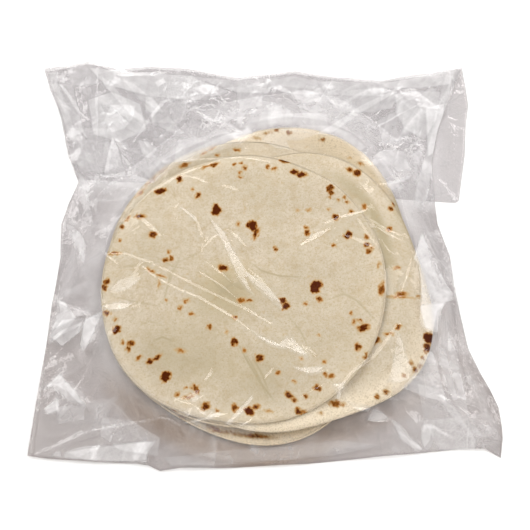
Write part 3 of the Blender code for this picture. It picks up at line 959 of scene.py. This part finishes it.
def relax(wanted, steps, holds, rim, ground):
    """The sheet over the ground that best keeps to the wanted heights and its own steps."""
    height = np.maximum(wanted, ground)
    height[rim] = wanted[rim]
    across, up = steps
    hold_across, hold_up = holds
    inner = (slice(1, -1), slice(1, -1))
    west, east = hold_across[1:-1, :-1], hold_across[1:-1, 1:]
    south, north = hold_up[:-1, 1:-1], hold_up[1:, 1:-1]
    told = west * across[1:-1, :-1] - east * across[1:-1, 1:] + south * up[:-1, 1:-1] - north * up[1:, 1:-1]
    told = told + DRAPE_PULL * wanted[inner]
    total = west + east + south + north + DRAPE_PULL
    rows, columns = told.shape
    chequer = (np.arange(rows)[:, None] + np.arange(columns)) % 2 == 0
    for turn in range(2 * RELAX_ROUNDS):
        beside = west * height[1:-1, :-2] + east * height[1:-1, 2:] + south * height[:-2, 1:-1]
        fit = (told + beside + north * height[2:, 1:-1]) / total
        now = height[inner]
        moved = np.maximum(now + RELAX_OVERSHOOT * (fit - now), ground[inner])
        height[inner] = np.where(chequer if turn % 2 else ~chequer, moved, now)
    return height


def stack_gap(x, y):
    """How far places are outside every tortilla."""
    return np.min([-inset(index, x, y) for index in range(len(STACK))], axis=0)


def on_flap(x, y):
    """1 where the folded-under mouth lies below the bag, 0 elsewhere."""
    free_edge = 50 - 0.06 * x
    return smooth_step(y - free_edge, -14, 2)


def flap_height(x, y):
    """The upper face of the folded-under mouth, wherever it reaches."""
    return 0.65 + 0.35 * waves(x, y, 34, 300)


def film_on_flap(x, y):
    """How high the folded-under mouth lifts the lower film, 0 elsewhere."""
    return (flap_height(x, y) + FILM_ON_FLAP) * on_flap(x, y)


def back_heights(places):
    """The lower film: flat under the stack, on the flap at the top, and loose elsewhere."""
    x, y = places[..., 0], places[..., 1]
    loose = smooth_step(stack_gap(x, y), 2, 22)
    lift = (1 + 0.9 * waves(x, y, 52, 310)) * loose
    lift += 0.6 * loose * folds(places, 321, 260, (8, 34), ((1.5, 4), (3, 10)), (0.1, 0.4), "out")
    lift += 0.6 * loose * folds(places, 322, 160, (5, 18), ((1.5, 4), (2, 7)), (0.1, 0.4), "any")
    return np.maximum(0.3 + lift * (1 - 0.35 * on_flap(x, y)), 0.25 + film_on_flap(x, y))


def crumpling(seen_at):
    """How crumpled the upper film is, by the places named above."""
    total = np.zeros(seen_at.shape[:-1])
    for px, py, reach, weight in CRUMPLED_PLACES:
        gap = np.hypot(seen_at[..., 0] - px, seen_at[..., 1] - py)
        total = np.maximum(total, weight * (1 - smooth_step(gap, 0.4 * reach, reach)))
    return total


def from_border(shape):
    """About how far each point of a sheet's grid is from its border."""
    rows, columns = np.arange(shape[0])[:, None], np.arange(shape[1])
    cells = np.minimum(np.minimum(rows, shape[0] - 1 - rows), np.minimum(columns, shape[1] - 1 - columns))
    return cells * SHEET_SPAN / shape[0]


def looseness(y, gap, opened):
    """How freely the upper film folds: little on the stack, less at the top and at the edge."""
    loose = 0.02 + 0.05 * smooth_step(gap, -20, -2) + 0.93 * smooth_step(gap, -1, 14)
    return loose * (1 - 0.35 * smooth_step(y, 40, 80)) * (0.15 + 0.85 * opened)


def tent_slope(x, y):
    """How steeply the upper film falls from the stack's rim, uneven round the stack."""
    way = np.arctan2(y - STACK_MIDDLE_Y, x)
    return TENT_SLOPE + 0.13 * np.sin(3 * way + 1) + 0.1 * np.sin(5 * way + 2.2) + 0.06 * np.sin(9 * way)


def front_folds(places, seen_at, loose, free):
    """The upper film's folds, from long ones beside the stack to crumples and fine pinches."""
    x, y = places[..., 0], places[..., 1]
    crumpled = crumpling(seen_at)
    fold = loose * folds(places, 341, 300, (18, 70), ((1.1, 2.6), (3, 10)), (0.1, 0.42), "out")
    fold += loose * folds(places, 342, 90, (8, 30), ((1.1, 2.6), (3, 9)), (0.1, 0.35), "along")
    fold += loose * folds(places, 343, 300, (4, 18), ((1.1, 2), (1.5, 5)), (0.12, 0.45), "any")
    fold += crumpled * folds(places, 344, 2600, (1.5, 7), ((1, 2.2), (1, 3)), (0.25, 0.6), "any")
    fold += 0.7 * free * waves(x, y, 62, 330)
    fold += 0.8 * loose * folds(places, 346, 240, (2, 9), ((0.8, 1.4), (0.8, 2.6)), (0.3, 0.6), "any")
    return fold + folds(places, 348, 110, (1.5, 6), ((0.8, 1.3), (0.8, 1.6)), (0.35, 0.6), "any")


def shining_parts(seen_at):
    """The way that each facet and fold leans, and its share of the film at each place."""
    for way, corners in SHINING_FACETS:
        yield math.radians(way), polygon_share(seen_at, corners)
    for width, line in SHINING_FOLDS:
        away, share, way = from_line(seen_at, line)
        half = width * FOLD_SPREAD * (0.6 + 0.4 * np.sin(math.pi * share))
        yield (way + math.pi / 2) % math.pi, 1 - smooth_step(away, half - 0.3, half + 0.5)


def tilt_shining_parts(places, lying, seen_at, steps, holds):
    """Gives the steps in each shining part the slope that mirrors the arc, and holds them."""
    for way, share in shining_parts(seen_at):
        slope = mirror_slope(lying, way)
        for step, hold, (far, near) in zip(steps, holds, STEP_ENDS):
            weight = (share[far] + share[near]) / 2
            wished = ((places[far] - places[near]) * (slope[far] + slope[near]) / 2).sum(-1)
            step += weight * (wished - step)
            hold += weight * SHINE_HOLD


def front_heights(places, top):
    """The upper film: lying on the stack, falling from its rim, and folded as it shows."""
    x, y = places[..., 0], places[..., 1]
    rim = border(x.shape)
    opened = smooth_step(from_border(x.shape), 0, EDGE_REACH)
    low = back_heights(places)
    gap = stack_gap(x, y)
    reached = (x > STACK_X[0]) & (x < STACK_X[-1]) & (y > STACK_Y[0]) & (y < STACK_Y[-1]) & (gap < 0.3)
    covered = np.where(reached, sample(top, x, y), 0)
    free = smooth_step(gap, 4, 22) * smooth_step(from_border(x.shape), 0, SLACK_REACH)
    drape = FILM_TOP - RIM_FALL * smooth_step(gap, -34, 2) - tent_slope(x, y) * np.clip(gap, 0, None)
    base = soften(np.maximum(drape * opened, low + FILM_SLACK * free + 0.1), 2)
    ground = np.maximum(low + 0.12 + 0.23 * opened, covered + FILM_GAP)
    ground[rim] = low[rim]
    lying = np.stack([x, y, np.maximum(base, ground)], -1)
    seen_at = to_pixels(lying)
    wanted = base + front_folds(places, seen_at, looseness(y, gap, opened), free)
    wanted[rim] = low[rim]
    steps = [wanted[:, 1:] - wanted[:, :-1], wanted[1:] - wanted[:-1]]
    holds = [np.ones_like(step) for step in steps]
    tilt_shining_parts(places, lying, seen_at, steps, holds)
    return relax(wanted, steps, holds, rim, ground)


def milkiness_and_sheen(seen_at):
    """How milky the upper film is at each place, with the painted sheen of its pale patches and shining
    facets.
    """
    total = np.zeros(seen_at.shape[:-1])
    for weight, corners in MILKY_AND_SHEEN_PATCHES:
        total += PATCH_MILK_AND_SHEEN * weight * polygon_share(seen_at, corners)
    for _, corners in SHINING_FACETS:
        total += FACET_SHEEN * polygon_share(seen_at, corners)
    return total


def film_crease_shade(seen_at):
    """How much painted shade the upper film's creases have at each place."""
    total = np.zeros(seen_at.shape[:-1])
    for weight, line in SHADED_FILM_CREASES:
        away, share, _ = from_line(seen_at, line)
        ends = 0.4 + 0.6 * np.sin(math.pi * share)
        total = np.maximum(total, weight * (1 - smooth_step(away, 0.3, 1.5)) * ends)
    return total


def make_front(top, material):
    """The upper film, cut into pieces side by side that meet without a seam."""
    places = sheet_places(OUTLINE, FRONT_ROWS, FRONT_COLUMNS)
    heights = front_heights(places, top)
    points = np.concatenate([places, heights[..., None]], -1)
    x, y = places[..., 0], places[..., 1]
    gap = stack_gap(x, y)
    seen_at = to_pixels(points)
    edge = 1 - smooth_step(from_border(x.shape), 0.6, 2.0)
    # painted shade: a dark outline along the border, along the film's creases and in the right margin
    fields = {
        "haze_and_sheen": front_haze_and_sheen(places, gap, seen_at),
        "shade": np.maximum(0.7 * edge, film_crease_shade(seen_at)) + right_shade(x, y),
        "crinkle": 0.35 + 0.65 * smooth_step(gap, -6, 12),
    }
    normals = sheet_normals(points)
    cuts = np.linspace(0, FRONT_COLUMNS, FRONT_PIECES + 1).astype(int)
    for index, (first, last) in enumerate(zip(cuts, cuts[1:]), 1):
        part = (slice(None), slice(first, last + 1))
        faces = sheet_faces(*points[part].shape[:2])
        piece = add_mesh(f"film_front_{index}", points[part].reshape(-1, 3), faces, material)
        piece.data.normals_split_custom_set_from_vertices(normals[part].reshape(-1, 3).tolist())
        for name, values in fields.items():
            add_field(piece, name, values[part])
        if index == 1:
            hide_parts("bag")


def right_shade(x, y):
    """The right margin and the lower right corner lie in shade."""
    margin = 0.42 * smooth_step(x, 98, 126) * smooth_step(y, -70, -40) * (1 - smooth_step(y, 20, 44))
    return margin + 0.4 * smooth_step(x, 136, 150) * (1 - smooth_step(y, -70, -50))


def front_haze_and_sheen(places, gap, seen_at):
    """How milky the upper film is, with painted sheen in its pale streaks and patches: most at the top,
    where the bag lies four layers thick.
    """
    x, y = places[..., 0], places[..., 1]
    streaks = folds(places, 351, 300, (12, 60), ((0.8, 1.6), (4, 14)), (0.03, 0.09), "out")
    streaks += folds(places, 352, 300, (6, 40), ((0.8, 1.6), (3, 12)), (0.03, 0.09), "any")
    haze_and_sheen = 0.042 + 0.185 * on_flap(x, y) + np.clip(streaks, 0, None)
    haze_and_sheen *= smooth_step(gap + 10 * smooth_step(y, 0, 70), -2, 4)
    # Painted light: paler film in a band beside the stack's rim, at the top and at the lower left, lifts
    # the shade there.
    haze_and_sheen += 0.07 * smooth_step(gap, -9, -3) * (1 - smooth_step(gap, 1, 9)) * smooth_step(y, -10, 60)
    lower_left = smooth_step(-y, 20, 70) * (1 - smooth_step(x, -60, 0))
    haze_and_sheen += 0.09 * lower_left * smooth_step(gap, -7, 0) * (1 - smooth_step(gap, 4, 18))
    return np.clip(haze_and_sheen + milkiness_and_sheen(seen_at), 0, None)


def make_back(material):
    """The lower film, tinted here by the shade round the stack and the dusk below it."""
    places = sheet_places(OUTLINE, BACK_ROWS, BACK_COLUMNS)
    heights = back_heights(places)
    points = np.concatenate([places, heights[..., None]], -1).reshape(-1, 3)
    back = add_mesh("film_back", points, sheet_faces(*heights.shape, flip=True), material)
    x, y = places[..., 0], places[..., 1]
    gap = stack_gap(x, y)
    shade = (1 - 0.15 * smooth_step(x, 40, 130)) * (1 - 0.7 * on_flap(x, y))
    beside = (1 - smooth_step(gap, 2, 16)) * smooth_step(y, -110, -60)
    shade *= smooth_step(gap, -12, -2) * (1 - 0.5 * beside)
    dusk = (1 - smooth_step(gap, -2, 28)) * smooth_step(-y, 70, 125) * (1 - 0.6 * smooth_step(x, 10, 90))
    dusk = np.maximum(dusk * (0.55 + 0.45 * smooth_step(gap, 0, 12)), 0.1 * smooth_step(-y, 10, 90))
    add_field(back, "haze_and_sheen", np.zeros(x.size))
    add_field(back, "shade", shade)
    add_field(back, "dusk", dusk)
    add_field(back, "crinkle", smooth_step(gap, -4, 10))


# The bag's mouth, folded under the top edge. Only its end on the right sticks out.
FLAP_SIDES = (
    [(-133, 60), (-60, 55), (60, 47), (132, 41), (140, 40.5)],
    [(-161, 151), (-131, 157.5), (-123, 156.5), (-107, 150.5), (-85, 153.5), (-55, 151.5),
     (-18, 143.5), (25, 149.5), (46, 145.5), (87, 141.5), (128, 147.5), (151, 154)],
    [(-133, 60), (-141, 80), (-148, 111), (-161, 151)],
    [(140, 40.5), (142.5, 42.5), (143, 46), (149, 80), (151, 103), (154, 122), (153, 138), (151, 154)],
)
FLAP_ROWS, FLAP_COLUMNS = 120, 250
FLAP_CREASE = [(434, 176), (443, 187), (453, 200)]
FLAP_CREASE_WIDTH = 4.5


def make_flap(material):
    """Two layers of film, which all but meet round their edge, folded under the top of the bag."""
    places = sheet_places(FLAP_SIDES, FLAP_ROWS, FLAP_COLUMNS)
    x, y = places[..., 0], places[..., 1]
    free = smooth_step(x - 118 - 0.1 * (y - 40), 0, 16)
    lower = 0.2 + 0.08 * waves(x, y, 30, 301) + 0.5 * free * (0.5 + 0.5 * waves(x, y, 36, 302))
    crumple = folds(places, 304, 200, (6, 30), ((1.5, 4), (3, 9)), (0.05, 0.3), "any")
    upper = np.maximum(lower + 0.15, flap_height(x, y) + crumple * (0.25 + 0.5 * free) + 0.6 * free)
    upper = np.where(free > 0, upper, np.minimum(upper, flap_height(x, y) + 0.3))
    lower = np.maximum(lower, 0.12)
    away, share, _ = from_line(to_pixels(np.stack([x, y, upper], -1)), FLAP_CREASE)
    near = 1 - smooth_step(away, FLAP_CREASE_WIDTH, 2 * FLAP_CREASE_WIDTH)
    upper += near * (flap_height(x, y) + 0.6 * free - upper)
    upper += ARC_SLOPE * PIXEL * np.clip(FLAP_CREASE_WIDTH - away, 0, None) * np.sin(math.pi * share) ** 0.3
    rim = border(x.shape)
    upper[rim] = lower[rim] + 0.06
    rows, columns = x.shape
    points = np.concatenate([np.stack([x, y, z], -1).reshape(-1, 3) for z in (upper, lower)])
    faces = [*sheet_faces(rows, columns), *sheet_faces(rows, columns, rows * columns, flip=True)]
    flap = add_mesh("film_flap", points, faces, material)
    add_field(flap, "haze_and_sheen", np.concatenate([np.full(x.size, 0.07), np.zeros(x.size)]))
    add_field(flap, "shade", np.concatenate([(0.35 * free).ravel(), np.full(x.size, 0.4)]))
    add_field(flap, "crinkle", np.ones(2 * x.size))


# ---------------------------------------------------------------- the materials


class Shader:
    """A material's nodes, each added and fed in one call."""

    def __init__(self, name):
        self.material = bpy.data.materials.new(name)
        self.material.use_nodes = True
        self.tree = self.material.node_tree
        self.tree.nodes.clear()
        self.place = self.add("TexCoord").outputs["Object"]

    def add(self, kind, settings=(), **sockets):
        made = self.tree.nodes.new("ShaderNode" + kind)
        for name, value in dict(settings).items():
            setattr(made, name, value)
        for name, value in sockets.items():
            key = int(name[1:]) if name[0] == "_" else name.replace("_", " ")
            self.feed(made.inputs[key], value)
        return made

    def feed(self, socket, value):
        if isinstance(value, bpy.types.NodeSocket):
            self.tree.links.new(value, socket)
        else:
            is_colour = isinstance(value, tuple) and socket.type == "RGBA"
            socket.default_value = (*value, 1) if is_colour else value

    def maths(self, operation, *values, kind="Math"):
        made = self.add(kind, {"operation": operation})
        for socket, value in zip(made.inputs, values):
            self.feed(socket, value)
        return made.outputs[0]

    def blend(self, share, under, over):
        return self.add("Mix", {"data_type": "RGBA"}, _0=share, _6=under, _7=over).outputs[2]

    def ramp(self, source, low, high, first=0, last=1):
        made = self.add("MapRange", Value=source, From_Min=low, From_Max=high, To_Min=first, To_Max=last)
        return made.outputs["Result"]

    def noise(self, scale, detail, roughness=0.5, output="Fac"):
        made = self.add("TexNoise", Vector=self.place, Scale=scale, Detail=detail, Roughness=roughness)
        return made.outputs[output]

    def field(self, name):
        return self.add("Attribute", {"attribute_name": name}).outputs["Fac"]

    def finish(self, surface):
        self.add("OutputMaterial", Surface=surface)
        return self.material


FILM_TINT = (0.97, 0.963, 0.966)
FILM_SHADE = (0.745, 0.722, 0.722)
FILM_DUSK = (0.575, 0.455, 0.35)  # below the stack, in its shadow
# the colour of the film's milkiness and of its painted sheen
FILM_HAZE_AND_SHEEN = (0.91, 0.898, 0.902)
FILM_MIRROR, FILM_GLANCE, FILM_ROUGHNESS = 0.078, 0.6, 0.04
CREASE_CELLS = ((30, 0.16), (12, 0.1), (2.4, 0.1))  # how far across, in mm, and how steep
CREASE_WIDTH, CREASE_MILK_AND_SHEEN = 0.5, 0.6


def film_material():
    """Clear film: it lets light through, mirrors more at a glance, and is faintly milky, partly with
    painted sheen. Its crinkles are flat facets between thin pale creases, which are partly painted
    sheen, and its colour carries painted shade."""
    shader = Shader("clear_film")
    noise, ramp, field, maths = shader.noise, shader.ramp, shader.field, shader.maths
    crinkle = field("crinkle")
    bend = noise(32, 2, output="Color")
    bent = maths("MULTIPLY_ADD", bend, (0.012, 0.012, 0), shader.place, kind="VectorMath")
    flat = maths("MULTIPLY", bent, (1 / MM, 1 / MM, 0), kind="VectorMath")
    height, creases = 0, 0
    for across, steep in CREASE_CELLS:
        kinds = [{"voronoi_dimensions": "2D", "feature": feature} for feature in ("F1", "DISTANCE_TO_EDGE")]
        cell, edge = (shader.add("TexVoronoi", kind, Vector=flat, Scale=1 / across) for kind in kinds)
        tone = shader.add("SeparateColor", Color=cell.outputs["Color"]).outputs[0]
        rise = maths("MULTIPLY", maths("SUBTRACT", tone, 0.5), 2 * steep * across)
        height = maths("MULTIPLY_ADD", edge.outputs["Distance"], rise, height)
        line = ramp(edge.outputs["Distance"], 0, CREASE_WIDTH / across, 1, 0)
        creases = maths("MULTIPLY_ADD", line, steep, creases)
    patchy = maths("MULTIPLY", creases, ramp(noise(26, 3), 0.45, 0.62))
    creases = maths("MULTIPLY", patchy, maths("POWER", crinkle, 2))
    haze_and_sheen = maths("MULTIPLY_ADD", creases, CREASE_MILK_AND_SHEEN, field("haze_and_sheen"))
    haze_and_sheen = maths("MULTIPLY_ADD", haze_and_sheen, ramp(noise(140, 3, 0.6), 0.3, 0.7, 0.86, 1.14), 0.001)
    bump = shader.add("Bump", Height=maths("MULTIPLY", height, crinkle), Distance=MM, Strength=1)
    normal = bump.outputs["Normal"]
    # painted shade round the stack and painted shadow below it darken the film's see-through colour
    tint_and_shade = shader.blend(field("shade"), FILM_TINT, FILM_SHADE)
    tint_and_shade = shader.blend(field("dusk"), tint_and_shade, FILM_DUSK)
    clear = shader.add("BsdfTransparent", Color=tint_and_shade).outputs[0]
    milk_and_sheen = shader.add("BsdfDiffuse", Color=FILM_HAZE_AND_SHEEN).outputs[0]
    hazy_and_sheen = shader.add("MixShader", _0=haze_and_sheen, _1=clear, _2=milk_and_sheen).outputs[0]
    facing = shader.add("LayerWeight", Blend=0.5, Normal=normal).outputs["Facing"]
    share = maths("MULTIPLY_ADD", maths("POWER", facing, 4), FILM_GLANCE, FILM_MIRROR)
    share = maths("MULTIPLY", share, maths("MULTIPLY_ADD", crinkle, 0.55, 0.45))
    mirror = shader.add("BsdfGlossy", Roughness=FILM_ROUGHNESS, Normal=normal).outputs[0]
    return shader.finish(shader.add("MixShader", _0=share, _1=hazy_and_sheen, _2=mirror).outputs[0])


def tortilla_material():
    """Matt cream dough: mottled, paler at its rim, with golden rings round its brown spots; painted light
    on its front rims, and painted shade in its creases, hollows and gaps.
    """
    shader = Shader("flour_tortilla")
    noise, ramp, field, maths = shader.noise, shader.ramp, shader.field, shader.maths
    grain = maths("MULTIPLY", maths("SUBTRACT", noise(800, 2), 0.5), 0.9)
    toast_and_gap_shade = maths("MULTIPLY_ADD", grain, field("toast_and_gap_shade"), field("toast_and_gap_shade"))
    dough = (0.672, 0.597, 0.476)
    for share, colour in (
        (ramp(noise(34, 4), 0.35, 0.68), (0.597, 0.53, 0.406)),
        (ramp(noise(150, 4, 0.7), 0.45, 0.75), (0.53, 0.43, 0.285)),
        (maths("MULTIPLY", ramp(noise(420, 3, 0.6), 0.42, 0.68), 0.4), (0.5, 0.42, 0.28)),
        # a paler rim, partly the dough's own and partly painted light on the shaded front rims
        (field("rim"), (0.95, 0.84, 0.655)),
        (maths("MULTIPLY", field("warm"), 0.6), (0.76, 0.6, 0.36)),
        # painted shade in creases and hollows and beside the rims above
        (maths("MULTIPLY", field("painted_shade"), 0.8), (0.45, 0.385, 0.25)),
        (maths("MULTIPLY", ramp(noise(950, 2, 0.6), 0.5, 0.7), 0.6), (0.44, 0.345, 0.2)),
        (maths("MULTIPLY", ramp(noise(230, 2, 0.4), 0.68, 0.78), 0.3), (0.5, 0.33, 0.13)),
        # colours of toasted dough, which also colour the painted shadow in the gaps between the lowest rims
        (ramp(toast_and_gap_shade, 0.04, 0.34), (0.54, 0.365, 0.17)),
        (ramp(toast_and_gap_shade, 0.28, 0.56), (0.34, 0.13, 0.02)),
        (ramp(toast_and_gap_shade, 0.56, 0.88), (0.08, 0.013, 0)),
    ):
        dough = shader.blend(share, dough, colour)
    bump = shader.add("Bump", Strength=0.35, Distance=0.0005, Height=noise(520, 4, 0.6))
    skin = shader.add("BsdfPrincipled", Base_Color=dough, Roughness=0.7, Normal=bump.outputs["Normal"])
    skin.inputs["Specular IOR Level"].default_value = 0.03
    return shader.finish(skin.outputs[0])


# ---------------------------------------------------------------- the surroundings


FLOOR_REACH = 3  # in metres


def add_floor():
    mesh = bpy.data.meshes.new("floor")
    corners = [(x * FLOOR_REACH, y * FLOOR_REACH, 0) for x, y in ((-1, -1), (1, -1), (1, 1), (-1, 1))]
    mesh.from_pydata(corners, [], [(0, 1, 2, 3)])
    floor = bpy.data.objects.new("floor", mesh)
    bpy.context.scene.collection.objects.link(floor)
    paint = bpy.data.materials.new("pale_floor")
    paint.use_nodes = True
    shader = paint.node_tree.nodes["Principled BSDF"]
    shader.inputs["Base Color"].default_value = (0.93, 0.93, 0.93, 1)
    shader.inputs["Roughness"].default_value = 0.9
    shader.inputs["Specular IOR Level"].default_value = 0.0
    mesh.materials.append(paint)


def direction(way, elevation):
    """A unit vector, from a way and an elevation in degrees."""
    way, elevation = math.radians(way), math.radians(elevation)
    level = math.cos(elevation)
    return np.array([math.cos(way) * level, math.sin(way) * level, math.sin(elevation)])


def add_lights():
    """The room, paler towards the horizon, the arc of lamps and the lights of the room."""
    world = bpy.data.worlds.new("soft_room")
    bpy.context.scene.world = world
    world.use_nodes = True
    nodes, links = world.node_tree.nodes, world.node_tree.links
    sky = nodes["Background"]
    sky.inputs["Color"].default_value = (1.0, 0.99, 0.98, 1)
    around = nodes.new("ShaderNodeTexCoord")
    height = nodes.new("ShaderNodeSeparateXYZ")
    links.new(around.outputs["Generated"], height.inputs[0])
    glow = nodes.new("ShaderNodeMapRange")
    glow.inputs["From Max"].default_value = OVERHEAD_FROM
    glow.inputs["To Min"].default_value = HORIZON_RADIANCE
    glow.inputs["To Max"].default_value = OVERHEAD_RADIANCE
    links.new(height.outputs["Z"], glow.inputs["Value"])
    links.new(glow.outputs["Result"], sky.inputs["Strength"])
    for index, way in enumerate(np.linspace(0, math.pi, ARC_LAMPS)):
        add_light(f"arc_{index + 1}", lamp_place(way), "DISK", ARC_LAMP_SIZE, ARC_RADIANCE)
    for name, (way, elevation, distance, size, radiance) in ROOM_LIGHTS.items():
        place = VIEW_TARGET + distance * direction(way, elevation)
        lamp = add_light(name, place, "SQUARE", size, radiance)
        lamp.visible_glossy = False


def add_light(name, place, shape, size, radiance):
    data = bpy.data.lights.new(name, "AREA")
    data.shape = shape
    data.size = size * MM
    area = data.size**2 * (math.pi / 4 if shape == "DISK" else 1)
    data.energy = radiance * math.pi * area
    data.color = (1.0, 0.99, 0.975)
    lamp = bpy.data.objects.new(name, data)
    bpy.context.scene.collection.objects.link(lamp)
    lamp.location = Vector(place * MM)
    lamp.rotation_euler = Vector((VIEW_TARGET - place) * MM).to_track_quat("-Z", "Y").to_euler()
    return lamp


def add_camera():
    data = bpy.data.cameras.new("camera")
    data.sensor_width = SENSOR
    data.lens = SENSOR * FOCAL_PIXELS / IMAGE_PIXELS
    camera = bpy.data.objects.new("camera", data)
    bpy.context.scene.collection.objects.link(camera)
    camera.location = Vector(EYE * MM)
    camera.rotation_euler = (math.pi / 2 - VIEW_ELEVATION, 0, 0)
    bpy.context.scene.camera = camera


def main():
    dough = tortilla_material()
    film = film_material()
    beds, tops, top = lay_stack()
    spots = [(*spot_place(px, py, tops), *rest) for px, py, *rest in SPOTS]
    for index, bed in enumerate(beds):
        make_tortilla(index, bed, spots, dough)
    make_front(top, film)
    make_back(film)
    make_flap(film)
    add_floor()
    add_lights()
    add_camera()
    bpy.context.scene.view_settings.view_transform = "Standard"
    bpy.context.scene.cycles.transparent_max_bounces = 24


main()
